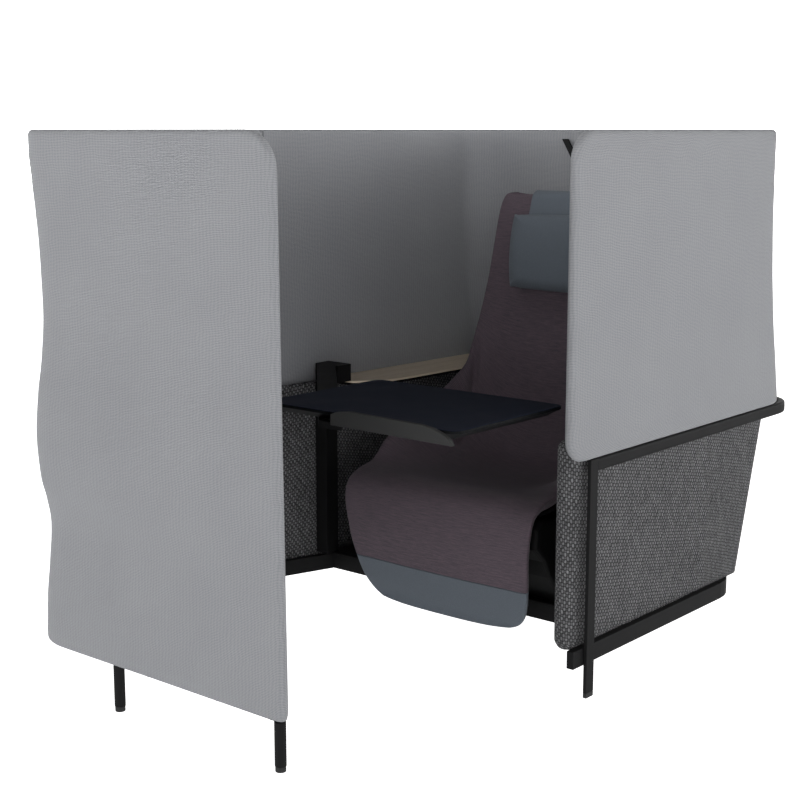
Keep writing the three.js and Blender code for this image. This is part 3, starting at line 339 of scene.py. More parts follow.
# A group that several cloths share: upright threads that float over the weft for a share of their
# period and dive under it for the rest, each column a little further up than the one before.
thread_group, given, thread_out = new_group(
    "staggered_floats", "ShaderNodeTree",
    {"Pattern": "Vector", "Column": "Float", "Period": "Float", "Stagger": "Float",
     "Float Share": "Float", "Roundness": "Float", "Unevenness": "Float"},
    {"Height": "Float", "Upright": "Float", "Thread Tone": "Float"},
)
calc = partial(sum_of, thread_group)
wobble = noise(thread_group, given["Pattern"], 60.0)
sway = calc("MULTIPLY", calc("SUBTRACT", wobble, 0.5), given["Unevenness"])
split = put(thread_group, "ShaderNodeSeparateXYZ", Vector=given["Pattern"])
column_place = calc("ADD", sway, calc("DIVIDE", split[0], given["Column"]))
column = calc("FLOOR", column_place)
ridge = calc("SINE", calc("MULTIPLY", calc("FRACT", column_place), math.pi))
rise = calc("MULTIPLY_ADD", column, given["Stagger"], calc("DIVIDE", split[1], given["Period"]))
rise = calc("ADD", rise, sway)
float_cell, float_place = calc("FLOOR", rise), calc("FRACT", rise)
float_share = given["Float Share"]
over = calc("LESS_THAN", float_place, float_share)
along_float = calc("MULTIPLY", calc("DIVIDE", float_place, float_share), math.pi)
arch = calc("POWER", calc("MAXIMUM", calc("SINE", along_float), 0.0), given["Roundness"])
along_weft = calc(
    "DIVIDE", calc("SUBTRACT", float_place, float_share), calc("SUBTRACT", 1.0, float_share)
)
weft = calc("MAXIMUM", calc("SINE", calc("MULTIPLY", along_weft, math.pi)), 0.0)
weft = calc("MULTIPLY", weft, calc("POWER", ridge, 0.4))
woven = put(
    thread_group, "ShaderNodeMix", {"data_type": "FLOAT"}, i0=over, i2=calc("MULTIPLY", weft, 0.55),
    i3=calc("MULTIPLY", ridge, arch),
)
cell = put(thread_group, "ShaderNodeCombineXYZ", X=column, Y=float_cell)[0]
cell_tone = put(thread_group, "ShaderNodeTexWhiteNoise", {"noise_dimensions": "2D"}, Vector=cell)
for label, made in (("Height", woven[0]), ("Upright", over), ("Thread Tone", cell_tone[0])):
    thread_group.links.new(made, thread_out[label])


def flat_pattern(tree):
    """A place on the piece's own flat pattern."""
    return put(tree, "ShaderNodeUVMap", {"uv_map": "pattern"})[0]


def threaded(tree, pattern, *sizes):
    """The staggered floats on a pattern. Sizes are the column, the period, the stagger, the share and
    the roundness of a float, and the unevenness."""
    names = ("Column", "Period", "Stagger", "Float_Share", "Roundness", "Unevenness")
    given = dict(zip(names, sizes), Pattern=pattern)
    return put(tree, "ShaderNodeGroup", {"node_tree": thread_group}, **given)


def cloth(name, tones, sizes, depth, tone_share, rough, sheen):
    """A woven cloth: tones of its gaps, its weft and its floats, and the sizes of its threads."""
    material, tree, shader = new_material(name, rough, specular=0.2, sheen=sheen)
    pattern, calc = flat_pattern(tree), partial(sum_of, tree)
    woven = threaded(tree, pattern, *sizes)
    tone = calc("MULTIPLY", woven["Upright"], 1 - tone_share)
    tone = calc("MULTIPLY_ADD", woven["Thread Tone"], tone_share, tone)
    drift = calc("SUBTRACT", noise(tree, pattern, 7.0, 5.0), 0.5)
    yarn = blended(tree, calc("MULTIPLY_ADD", drift, 0.4, tone), tones[1], tones[2])
    lit = ranged(tree, woven["Height"], From_Min=0.05, From_Max=0.6)
    surfaced(tree, shader, blended(tree, lit, tones[0], yarn), woven["Height"], 0.8, depth)
    return material


# The knit: fine courses of loops 3.3 mm high, each a ridge that zigzags with the wales, over soft ribs.
knit, tree, shader = new_material("grey_knit", 0.92, specular=0.2, sheen=0.15)
pattern, calc = flat_pattern(tree), partial(sum_of, tree)
wale_width, course_height, rib_turns = 0.0031, 0.0033, 640.0
uneven = noise(tree, pattern, 14.0)
place = put(tree, "ShaderNodeSeparateXYZ", Vector=pattern)
wale = calc("PINGPONG", calc("DIVIDE", place[0], wale_width), 0.5)
course = calc("MULTIPLY_ADD", wale, 0.5, calc("DIVIDE", place[1], course_height))
course = calc("MULTIPLY_ADD", uneven, 3.0, course)
loop = calc("SINE", calc("MULTIPLY", calc("FRACT", course), math.pi))
strand = calc("MULTIPLY_ADD", loop, 0.8, calc("MULTIPLY", wale, 0.4))
tuft = calc("SUBTRACT", noise(tree, pattern, 420.0), 0.5)
strand = calc("MULTIPLY_ADD", tuft, 0.7, strand)
rib_place = calc("MULTIPLY", calc("MULTIPLY_ADD", uneven, 0.02, place[0]), rib_turns)
strand = calc("MULTIPLY_ADD", calc("SINE", rib_place), 0.1, strand)
yarn = blended(tree, noise(tree, pattern, 5.0, 4.0), (158, 159, 163), (171, 172, 175))
lit = ranged(tree, strand, From_Min=0.1, From_Max=0.85)
surfaced(tree, shader, blended(tree, lit, (126, 128, 132), yarn), strand, 0.7, 0.0006)

overall_height, screen_thick = 1290, 25
half_screen = screen_thick / 2
screen_rims = (12.4, 4, 6, 12.4)
seam_gap = 0.6
wing_foot, lounge_foot = 108, 561.6
wing_edge_x, wing_face_x, wing_corner, wing_seam_y = 262, -603, 150, 780
wall_rear_x, wall_rear_y = -525, 1794
waist_shares = [
    (0.084, 0.17), (0.165, -0.06), (0.225, -0.5), (0.3, -0.91), (0.35, -0.4), (0.385, 0.17),
    (0.46, 0.51), (0.535, 0.11), (0.6, -0.55), (0.685, -1), (0.79, -0.86), (0.86, -0.57),
    (0.925, -0.2), (0.96, 0), (1, 0),
]
waist_depth = 17.5


def right_face_x(y):
    """The right wall's outer face runs on a slight slant from the front corner to the rear."""
    return wing_face_x + (y - wing_corner) * (wall_rear_x - wing_face_x) / (wall_rear_y - wing_corner)


def at_height(shares, z):
    """A table's value at a height."""
    return float(smooth_table(shares, np.array([z / overall_height]))[0])


wing_line = plan_line(
    (wing_edge_x, half_screen),
    (wing_face_x + half_screen, half_screen, wing_corner - half_screen),
    (right_face_x(wing_seam_y) + half_screen, wing_seam_y - seam_gap),
)
corner_share = (wing_edge_x - wing_face_x) / (wing_edge_x - wing_face_x + wing_seam_y)


def wing_waist(share, z, point, normal):
    """The knit draws in between its hoops, and stands at its full width at both edges."""
    nearest = min(max(min(share / corner_share, (1 - share) / (1 - corner_share)), 0), 1)
    fade = nearest * nearest * (3 - 2 * nearest)
    return normal * at_height(waist_shares, z) * waist_depth * fade


wing = covered_board(
    "wing_screen_knit", wing_line, knit, screen_thick, wing_foot, overall_height, screen_rims,
    wing_waist, corners=(78, 14), lean=11,
)
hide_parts("wing_screen")

lean_shares = [
    (0.435, 0), (0.486, 0.14), (0.538, 0.32), (0.602, 0.55), (0.662, 0.71), (0.729, 0.86), (0.862, 1),
    (1, 1),
]
lean_depth = 97
left_face_x, lounge_front_y, lounge_corner = 503, 668, 160
lounge_rear_y = 1783 - half_screen
lounge_line = plan_line(
    (left_face_x - half_screen, lounge_front_y),
    (left_face_x - half_screen, lounge_rear_y, lounge_corner - half_screen),
    (right_face_x(lounge_rear_y) + half_screen, lounge_rear_y, lounge_corner - half_screen),
    (right_face_x(wing_seam_y) + half_screen, wing_seam_y + seam_gap),
)


def rearward(point, rear_y):
    """0 along the front of a side wall, rising to 1 over the last stretch before its rear."""
    stretch = 330
    return min(max((point[1] - rear_y + stretch) / stretch, 0), 1)


def lounge_lean(share, z, point, normal):
    """The back of the U stands forward at its top."""
    return np.array([0, -at_height(lean_shares, z) * lean_depth * rearward(point, lounge_rear_y)])


lounge = covered_board(
    "lounge_screen_knit", lounge_line, knit, screen_thick, lounge_foot, overall_height, screen_rims,
    lounge_lean, corners=(70, 55),
)
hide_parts("lounge_screen")
for screen in (wing, lounge):
    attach(screen, "frame")


# Lower panels: 56 mm foam boards in a coarse charcoal and grey cloth, clipped to the base and rail. The
# rear one's foot stands forward of its top, and a thin liner fills in front of the column.
weave = cloth(
    "charcoal_weave", ((42, 42, 43), (74, 74, 76), (139, 139, 141)), (0.0058, 0.0160, 0.43, 0.5, 0.6, 0.6),
    depth=0.0018, tone_share=0.5, rough=0.95, sheen=0.05,
)
fit_gap = 0.3
panel_thick, panel_corner = 56, 80
panel_rear_y = 1689 - panel_thick / 2
panel_outer_x = left_face_x - screen_thick - fit_gap
left_line_x = panel_outer_x - panel_thick / 2
left_split_x = panel_outer_x - panel_corner - panel_thick
base_foot, rail_foot = 121.3, 531
board_thick, board_foot, board_top = panel_thick - 2 * fit_gap, base_foot + 0.4, 590.6
foot_forward = 134


def panel_lean(share, z, point, normal):
    """The rear panel's foot stands forward of its top."""
    drop = min(max((z - rail_foot) / (base_foot - rail_foot), 0), 1)
    return np.array([0, -drop * foot_forward * rearward(point, panel_rear_y)])


def right_inner_x(y):
    """The right wall's inner face."""
    return right_face_x(y) + screen_thick + fit_gap


left_line = plan_line(
    (left_line_x, 713), (left_line_x, panel_rear_y, panel_corner - panel_thick / 2),
    (left_split_x + 0.5, panel_rear_y),
)
left_foot_z, left_top = 110.3, 605


def left_foot(points):
    """The left panel's foot stands on the base, and hangs lower in front of it, inside the side rail."""
    base_front_y, rise_length, side_rail_x = 935, 16, 472.5
    on_base = np.clip((points[..., 1] - base_front_y) / rise_length, 0, 1)
    lowest = left_foot_z + (board_foot - left_foot_z) * on_base**2 * (3 - 2 * on_base)
    points[..., 2] = np.maximum(points[..., 2], lowest)
    beside_rail = (points[..., 2] < base_foot) & (points[..., 1] > 700)
    points[..., 0] = np.where(beside_rail, np.minimum(points[..., 0], side_rail_x), points[..., 0])
    return points


left_panel = covered_board(
    "panel_left_weave", left_line, weave, board_thick, left_foot_z, left_top, (27, 3, 7, 24),
    panel_lean, corners=(24, 24), trim=left_foot,
)
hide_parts("panel_left")

liner_face_x, right_front_y = -514, 974
right_thick = liner_face_x - right_inner_x(934)
right_line_x = right_inner_x(panel_rear_y) + right_thick / 2
right_rear_x = right_line_x + right_thick / 2 + panel_thick
rear_line = plan_line((left_split_x - 0.2, panel_rear_y), (right_rear_x + 0.2, panel_rear_y))
rear_panel = covered_board(
    "panel_rear_weave", rear_line, weave, board_thick, board_foot, board_top, (3, 3, 5, 10), panel_lean
)
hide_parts("panel_rear")

right_line = plan_line(
    (right_inner_x(right_front_y) + right_thick / 2, right_front_y + 2.4),
    (right_line_x, panel_rear_y, panel_corner - panel_thick / 2),
    (right_rear_x - 0.5, panel_rear_y),
)
right_foot = 125
right_panel = covered_board(
    "panel_right_weave", right_line, weave, right_thick - 2 * fit_gap, right_foot, board_top,
    (4, 3, 5, 8), panel_lean,
)
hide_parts("panel_right")


def liner_board():
    """The liner: flat against the wall, its face slanting out to the column's depth."""
    front_y, foot, top, face_x, rim = wing_seam_y + 1, 108.6, 606.8, liner_face_x - 0.3, 5
    slant_y, slant_length, thin = 812, 122, 4.5
    flare_foot = 124.6
    faces_y = rim_steps(front_y, right_front_y, 12, 3, 3)
    heights = rim_steps(foot, top, 12, rim, 8)
    front, back, uv = two_grids(heights, faces_y)
    for i, z in enumerate(heights):
        for j, y in enumerate(faces_y):
            wall_x = right_inner_x(y) + fit_gap
            slant = max(y - slant_y, 0) / slant_length
            outward = slant * (face_x - right_inner_x(slant_y) - fit_gap - thin)
            edge = min(y - front_y, right_front_y - y, z - foot, top - z)
            full = math.sqrt(max(1 - (1 - min(edge, rim) / rim) ** 2, 0))
            inner_x = min(face_x, wall_x + thin + outward)
            middle, half = (wall_x + inner_x) / 2, (inner_x - wall_x) / 2 * full
            above_rail = max(z, flare_foot) if y < slant_y else z
            front[i, j] = (middle - half, y, above_rail)
            back[i, j] = (middle + half, y, above_rail)
            uv[i, j] = (y / 1000, z / 1000)
    return two_sided("wing_liner_weave", front, back, uv, weave)


liner = liner_board()
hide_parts("wing_liner")
for panel in (left_panel, rear_panel, right_panel, liner):
    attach(panel, "frame")


# Seat and back: one upholstered surface of 48 mm foam over moulded shells, mauve with a fine slub, with
# a blue-grey band sewn along the front hem. Sides are pulled in to a rounded edge.
seat_line_shares = np.array([
    (0.091, 0.06, 0.109, 0.072, 0.799), (0.053, 0.134, 0.071, 0.138, 0.888),
    (0.015, 0.223, 0.033, 0.228, 0.947), (0, 0.295, 0.021, 0.295, 0.98),
    (0.018, 0.346, 0.042, 0.338, 0.993), (0.091, 0.368, 0.106, 0.359, 1),
    (0.206, 0.362, 0.194, 0.375, 1), (0.364, 0.346, 0.276, 0.423, 0.997),
    (0.518, 0.334, 0.442, 0.466, 0.993), (0.658, 0.33, 0.597, 0.502, 0.993),
    (0.764, 0.353, 0.718, 0.537, 0.993), (0.821, 0.406, 0.802, 0.57, 0.987),
    (0.842, 0.491, 0.832, 0.616, 0.967), (0.864, 0.589, 0.858, 0.661, 0.951),
    (0.897, 0.688, 0.892, 0.714, 0.941), (0.93, 0.777, 0.923, 0.786, 0.921),
    (0.955, 0.857, 0.945, 0.862, 0.901), (0.973, 0.938, 0.967, 0.936, 0.882),
    (0.985, 0.98, 0.979, 0.973, 0.855), (1, 1, 0.994, 0.989, 0.822),
])
seat_front_y, seat_reach, back_top, seat_half_width = 796, 660, 1120, 304
seat_thick = 48
band_share = 0.07


def seat_row(along):
    """The five shares at a place along the seat's middle line, on a smooth curve through the rows."""
    place = np.clip(along, 0, 1) * (len(seat_line_shares) - 1)
    low = np.minimum(np.floor(place).astype(int), len(seat_line_shares) - 2)
    t = (place - low)[..., None]
    p0, p1 = seat_line_shares[np.maximum(low - 1, 0)], seat_line_shares[low]
    p2, p3 = seat_line_shares[low + 1], seat_line_shares[np.minimum(low + 2, len(seat_line_shares) - 1)]
    v0, v1 = (p2 - p0) / 2, (p3 - p1) / 2
    return (2 * p1 - 2 * p2 + v0 + v1) * t**3 + (-3 * p1 + 3 * p2 - 2 * v0 - v1) * t**2 + v0 * t + p1


def seat_point(along, across):
    """A point of the upholstery's surface; along runs from hem to top, across from -1 to 1."""
    row = seat_row(along)
    rise = np.abs(across) ** 3.4
    y = row[..., 0] + (row[..., 2] - row[..., 0]) * rise
    z = row[..., 1] + (row[..., 3] - row[..., 1]) * rise
    return np.stack([across * row[..., 4] * seat_half_width, seat_front_y + y * seat_reach, z * back_top], -1)


def seat_normal(along, across):
    """The surface's normal, towards the sitter."""
    step = 0.004
    ahead = seat_point(np.minimum(along + step, 1), across) - seat_point(np.maximum(along - step, 0), across)
    side = seat_point(along, np.minimum(across + step, 1)) - seat_point(along, np.maximum(across - step, -1))
    normal = -np.cross(ahead, side)
    return normal / np.linalg.norm(normal, axis=-1, keepdims=True)


middle_points = seat_point(np.linspace(0, 1, 400), np.zeros(400))
seat_length = np.linalg.norm(np.diff(middle_points, axis=0), axis=1).sum()


def seat_draw_in(along):
    """The share of the width that is left at the hem's and the top's rounded corners."""
    hem_corner, top_corner, drawn = 58, 42, 0
    for share, radius in ((along, hem_corner), (1 - along, top_corner)):
        left = radius - np.minimum(share * seat_length, radius)
        drawn = drawn + radius - np.sqrt(np.maximum(radius**2 - left**2, 0))
    return 1 - drawn / seat_half_width


def crease(along, across):
    """How far the cloth is pulled in along the fold between the seat's side and the back, on either side."""
    fold_along = (0.37, 0.445, 0.485, 0.53, 0.575, 0.61, 0.67)
    fold_across = (0.655, 0.7, 0.735, 0.825, 0.9, 0.925, 0.965)
    fade = np.clip((along - fold_along[0]) / 0.12, 0, 1) * np.clip((fold_along[-1] - along) / 0.05, 0, 1)
    away = np.abs(across) - np.interp(along, fold_along, fold_across)
    depth, swell, swell_away = 15, 6, 0.08
    return fade * (
        depth * np.exp(-((away / 0.03) ** 2)) - swell * np.exp(-(((away - swell_away) / 0.05) ** 2))
    )


def upholstery(name, rows, material, free_start=False, free_end=False):
    """One padded piece of the seat between two rows. A free end is rounded over the whole pad, and the
    other end is sewn flush to its neighbour."""
    slim, seam_round, lift_height = 1.2, 0.9, 6
    side = np.concatenate([
        np.linspace(0, 0.6, 7), np.linspace(0.63, 0.96, 16), [0.972, 0.982, 0.99, 0.996, 1]
    ])
    columns = np.concatenate([-side[:0:-1], side])
    along, across = np.meshgrid(rows, columns, indexing="ij")
    drawn = across * seat_draw_in(along) * (1 - slim / seat_half_width)
    surface, normal = seat_point(along, drawn), seat_normal(along, drawn)
    share = (along - rows[0]) / (rows[-1] - rows[0])
    start_reach, end_reach = (1 - share) * free_start, share * free_end
    reach = np.maximum(np.abs(across), np.maximum(start_reach, end_reach))
    full = np.sqrt(np.maximum(1 - reach**11, 0))
    for end, free in ((along - rows[0], free_start), (rows[-1] - along, free_end)):
        if not free:
            near = np.clip(end * seat_length / seam_round, 0, 1)
            full = full * np.sqrt(np.maximum(1 - (1 - near) ** 2, 0))
    rim = np.maximum(np.abs(across), start_reach) ** 8
    middle = (seat_thick / 2 - rim * seat_thick / 2)[..., None]
    half = ((seat_thick / 2 - slim) * full)[..., None]
    front = surface - normal * (middle - half + (crease(along, drawn) * full)[..., None])
    back = surface - normal * (middle + half)
    if free_end:
        lift = np.clip((share - 0.9) / 0.1, 0, 1)[..., None] ** 2 * lift_height * np.array([0, 0.17, 0.98])
        front, back = front + lift, back + lift
    uv = np.stack([drawn * seat_half_width / 1000, along * seat_length / 1000], -1)
    return two_sided(name, front, back, uv, material)


def plump(piece, cap, sewn=None):
    """Blows the cloth of a padded piece out under pressure, and keeps each point within cap metres. A
    line of sewn points holds the cloth beside it where it is."""
    rest = np.empty(len(piece.data.vertices) * 3)
    piece.data.vertices.foreach_get("co", rest)
    swelling = piece.modifiers.new("swelling", "CLOTH")
    settings = swelling.settings
    settings.quality, settings.effector_weights.gravity = 6, 0
    settings.use_pressure, settings.uniform_pressure_force = True, 4.0
    settings.tension_stiffness = settings.compression_stiffness = 25
    settings.bending_stiffness = 2
    for step in range(1, 21):
        bpy.context.scene.frame_set(step)
    blown = np.empty_like(rest)
    shaped = piece.evaluated_get(bpy.context.evaluated_depsgraph_get())
    shaped.data.vertices.foreach_get("co", blown)
    moved = (blown - rest).reshape(-1, 3)
    size = np.linalg.norm(moved, axis=1, keepdims=True)
    moved *= np.minimum(1, cap / np.maximum(size, 1e-9))
    if sewn is not None:
        away = np.linalg.norm(rest.reshape(-1, 1, 3) - sewn[None], axis=2).min(axis=1)
        free = np.clip((away - seat_thick / 1000) / 0.05, 0, 1)[:, None]
        moved *= free * free * (3 - 2 * free)
    piece.modifiers.remove(swelling)
    piece.data.vertices.foreach_set("co", (rest.reshape(-1, 3) + moved).ravel())
    piece.data.update()
    bpy.context.scene.frame_set(1)


def smoothed(piece):
    """One level of subdivision, the same in the view and the render."""
    finer = piece.modifiers.new("smoothed", "SUBSURF")
    finer.levels = finer.render_levels = 1


def slub_cloth(name, low_tone, high_tone, gap_tone):
    """A fine cloth whose cross threads thicken and thin: streaks along the weft over a small weave."""
    material, tree, shader = new_material(name, 0.88, specular=0.2, sheen=0.12, sheen_roughness=0.45)
    pattern, calc = flat_pattern(tree), partial(sum_of, tree)
    height = threaded(tree, pattern, 0.0022, 0.0028, 0.5, 0.5, 0.4, 0.3)["Height"]
    streaks = []
    for scale, share in (((22, 300, 1), 0.6), ((70, 620, 1), 0.4)):
        drawn_out = put(tree, "ShaderNodeMapping", Vector=pattern, Scale=scale)[0]
        streak = noise(tree, drawn_out, 1.0, 3.0, Roughness=0.6)
        streaks.append(calc("MULTIPLY", ranged(tree, streak, From_Min=0.3, From_Max=0.7), share))
    tone = calc("ADD", *streaks)
    lit = ranged(tree, height, From_Max=0.5, To_Min=0.35)
    colour = blended(tree, lit, gap_tone, blended(tree, tone, low_tone, high_tone))
    surfaced(tree, shader, colour, calc("ADD", height, tone), 0.5, 0.0004)
    return material


mauve = slub_cloth("mauve_slub", (84, 80, 87), (124, 106, 116), (55, 50, 55))
seam_steps = np.array([0, 0.1, 0.3, 0.6, 0.9, 1.8, 4]) / seat_length
seat_rows = np.concatenate([
    band_share + 0.0001 + seam_steps, np.linspace(band_share + 0.006, 0.9, 96)[1:],
    0.9 + 0.1 * np.sin(np.linspace(0, 1, 16)[1:] * math.pi / 2),
])
seat = upholstery("seat_and_back_mauve", seat_rows, mauve, free_end=True)

wool = cloth(
    "blue_grey_wool", ((97, 104, 112), (107, 115, 124), (119, 127, 136)),
    (0.0016, 0.0032, 0.5, 0.5, 0.5, 0.3), depth=0.0002, tone_share=0.6, rough=0.9, sheen=0.1,
)
band_rows = np.unique(np.round(np.concatenate([
    band_share * (1 - np.sin(np.linspace(1, 0, 24) * math.pi / 2)) * 0.985, band_share - 0.0001 - seam_steps
]), 6))
band = upholstery("seat_band_blue", band_rows, wool, free_start=True)
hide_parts("seat_cushion", "back_cushion")
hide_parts("seat_front_band")
row_stops = 70
seam_across = np.linspace(-1, 1, row_stops)
seam_line = placed(seat_point(np.full(row_stops, band_share), seam_across))
for piece, slot_name in ((seat, "mauve"), (band, "blue_grey")):
    plump(piece, 0.003, seam_line)
    smoothed(piece)
    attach(piece, "frame")


# Shells and cover: thin shells of black plastic, moulded in one piece each, under the seat and behind the
# back, and a moulded cover that closes the seat's base. The small mouldings of shelf and lamp match them.
black_plastic = coated("black_moulding", (13, 13, 14), (18, 18, 19), 0.6, 0.0007, 0.3, specular=0.2)
dress(
    "seat_shell back_shell seat_cover shelf_carrier lamp_block lamp_arm light_bar", black_plastic, edge=0.001
)


# Headrest: a crowned foam pad of 393 x 217 mm in blue-grey wool. It hangs on a wide strap of the same wool
# that runs over the back's top, and slides on it against a weighted pad behind.
back_lean = math.radians(10.156)
up_back = np.array([0, math.sin(back_lean), math.cos(back_lean)])
out_back = np.array([0, -math.cos(back_lean), math.sin(back_lean)])
straight_low = seat_point(np.array(0.7368), np.array(0.0))


def on_back(z, forward):
    """A point at a height on the back's straight, a distance out of it."""
    return straight_low + up_back * (z - straight_low[2]) / up_back[2] + out_back * forward


def crowned_pad(name, middle, out, width, height, thick, crown, flare=0.0):
    """A pad with a nearly flat back, soft corners and a crowned face, wider by its flare at the top."""
    steps = np.sin(np.radians(np.linspace(-90, 90, 33)))
    steps = np.sign(steps) * np.abs(steps) ** 0.62
    v, u = np.meshgrid(steps, steps, indexing="ij")
    soften = 1 - 0.055 * (u * v) ** 2
    rim = (np.abs(u) ** 9 + np.abs(v) ** 9) ** (1 / 9)
    full = np.sqrt(np.maximum(1 - np.minimum(np.maximum(np.abs(u), np.abs(v)), 1) ** 7, 0))
    face = thick * (0.38 + 0.62 * full * (1 - crown * (u * u + v * v) / 2) / (1 + 0.02 * (rim > 1)))
    rear = thick * (0.38 - 0.36 * full)
    sideways = (u * width / 2 * soften * (1 + flare * v))[..., None] * np.array([1.0, 0, 0])
    flat = middle + sideways + (v * height / 2 * soften)[..., None] * up_back
    front, behind = flat + face[..., None] * out, flat + rear[..., None] * out
    uv = np.stack([u * width / 2000, v * height / 2000], -1)
    return two_sided(name, front, behind, uv, wool)


pad = crowned_pad(
    "headrest_pad_blue", on_back(951, 4.8), out_back, width=393, height=217, thick=57, crown=0.12, flare=0.035
)
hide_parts("headrest_pad")
shell_thick, weight_gap = 8, 5
strap_back = -(seat_thick + fit_gap + shell_thick + weight_gap + 1.2)
weight = crowned_pad(
    "headrest_weight_blue", on_back(895, strap_back - 1.5), -out_back, width=327, height=127,
    thick=25.5, crown=0.1,
)
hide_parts("headrest_weight")
for piece, body in ((pad, "headrest"), (weight, "weight")):
    plump(piece, 0.003)
    smoothed(piece)
    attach(piece, body)


strap_line = plan_line(*[
    (*on_back(z, forward)[1:], bend) for z, forward, bend in (
        (850, 2.8, 0), (1030, 2.8, 260), (1125, -8, 30), (1127.2, strap_back, 24), (830, strap_back, 0),
    )
])
strap_run = sum(map(length_of, strap_line))


def strap_strip():
    """The strap: up the front, over the back's top and down behind the shell, with a small hem."""
    half_width, hem_x, half_hem, half_cloth = 164, 158, 1.15, 0.9
    places = np.linspace(0, strap_run, 90)
    edge = np.array([-1, -0.995, -0.975, -0.95, -0.8, -0.5, 0, 0.5, 0.8, 0.95, 0.975, 0.995, 1]) * half_width
    front, rear, uv = two_grids(places, edge)
    for i, s in enumerate(places):
        point, normal = walk(strap_line, s)
        for j, x in enumerate(edge):
            half = half_hem if abs(x) > hem_x else half_cloth
            if i in (0, len(places) - 1) or j in (0, len(edge) - 1):
                half = 0
            front[i, j] = (x, *(point + normal * half))
            rear[i, j] = (x, *(point - normal * half))
            uv[i, j] = (x / 1000, s / 1000)
    return two_sided("headrest_strap_blue", front, rear, uv, wool)


strap = strap_strip()
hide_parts("headrest_strap")
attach(strap, "frame")


# Stitching: rows of lockstitch in a grey-blue thread, sewn beside the hem band's seam and along both edges
# of the strap. Each row follows its cloth, and a tree lays the stitches along it.
def grown(name, tree, points, edges, values, facing=()):
    """The plain mesh that a tree makes of points in metres and their edges."""
    source = bpy.data.meshes.new(name + "_places")
    source.from_pydata([tuple(point) for point in points], edges, [])
    if len(facing):
        aimed = source.attributes.new("facing", "FLOAT_VECTOR", "POINT")
        aimed.data.foreach_set("vector", np.asarray(facing, float).ravel())
    maker = stood(name + "_maker", source)
    growing = maker.modifiers.new("growing", "NODES")
    growing.node_group = tree
    for item in tree.interface.items_tree:
        if item.in_out == "INPUT" and item.name in values:
            growing[item.identifier] = values[item.name]
    bpy.context.view_layer.update()
    ready = maker.evaluated_get(bpy.context.evaluated_depsgraph_get())
    made = stood(name, bpy.data.meshes.new_from_object(ready))
    bpy.data.objects.remove(maker)
    return made


def repeated(tree, places, piece, aim, finish, out):
    """Ends a tree: a piece at each place, its z axis aimed, made real and given its finish."""
    turn = put(tree, "FunctionNodeAlignRotationToVector", {"axis": "Z"}, Vector=aim)[0]
    laid = put(tree, "GeometryNodeInstanceOnPoints", Points=places, Instance=piece, Rotation=turn)
    real = put(tree, "GeometryNodeRealizeInstances", Geometry=laid[0])
    done = put(tree, "GeometryNodeSetMaterial", Geometry=real[0], Material=finish)
    tree.links.new(done[0], out[0])


stitch_tree, given, stitch_out = new_group(
    "stitch_rows", "GeometryNodeTree",
    {"Geometry": "Geometry", "Pitch": "Float", "Stitch Length": "Float", "Thread Radius": "Float",
     "Thread": "Material"},
    {"Geometry": "Geometry"},
)
row_curve = put(stitch_tree, "GeometryNodeMeshToCurve", Mesh=given["Geometry"])[0]
row_points = put(
    stitch_tree, "GeometryNodeCurveToPoints", {"mode": "LENGTH"}, Curve=row_curve, Length=given["Pitch"]
)
stitch = put(
    stitch_tree, "GeometryNodeMeshCylinder", Vertices=6, Radius=given["Thread Radius"],
    Depth=given["Stitch Length"],
)[0]
repeated(stitch_tree, row_points["Points"], stitch, row_points["Tangent"], given["Thread"], stitch_out)

thread = coated("sewing_thread", (96, 104, 114), (112, 120, 130), 0.7, 0.0003, 0.2, specular=0.25)
seam_inset, strap_row_x, row_end, strap_lift = 5, 159.5, 6, 1.3
seam_along = np.full(row_stops, band_share - seam_inset / seat_length)
rows = [[]]
for point in placed(seat_point(seam_along, seam_across * 0.93 * seat_draw_in(seam_along))):
    found, place, normal, face = band.closest_point_on_mesh(Vector(point))
    rows[0].append(place + normal * 0.0002)
stops = [walk(strap_line, s) for s in np.linspace(row_end, strap_run - row_end, row_stops)]
for edge_x in (-strap_row_x, strap_row_x):
    rows.append(placed([(edge_x, *(point + normal * strap_lift)) for point, normal in stops]))
starts = [row_stops * row + i for row in range(len(rows)) for i in range(row_stops - 1)]
row_edges = [(start, start + 1) for start in starts]
stitching = grown(
    "stitching", stitch_tree, [point for row in rows for point in row], row_edges,
    {"Pitch": 0.0048, "Stitch Length": 0.0034, "Thread Radius": 0.00035, "Thread": thread},
)
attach(stitching, "frame")


# Screws: button heads of 11 mm with a round socket, zinc plated and blackened, that hold the base plate,
# the panel brackets, the wing's sill and the back shell. A tree sets one at each place, facing out.
screw_tree, given, screw_out = new_group(
    "button_screws", "GeometryNodeTree",
    {"Geometry": "Geometry", "Head Radius": "Float", "Head Height": "Float", "Socket Share": "Float",
     "Finish": "Material"},
    {"Geometry": "Geometry"},
)
calc = partial(sum_of, screw_tree)


def turned(shape, rise, size):
    """A shape whose end face is pushed out by a rise and then scaled, with that face."""
    pushed = put(screw_tree, "GeometryNodeExtrudeMesh", Mesh=shape[0], Selection=shape[1], Offset_Scale=rise)
    scaled = put(
        screw_tree, "GeometryNodeScaleElements", Geometry=pushed["Mesh"], Selection=pushed["Top"], Scale=size
    )
    return scaled[0], pushed["Top"]


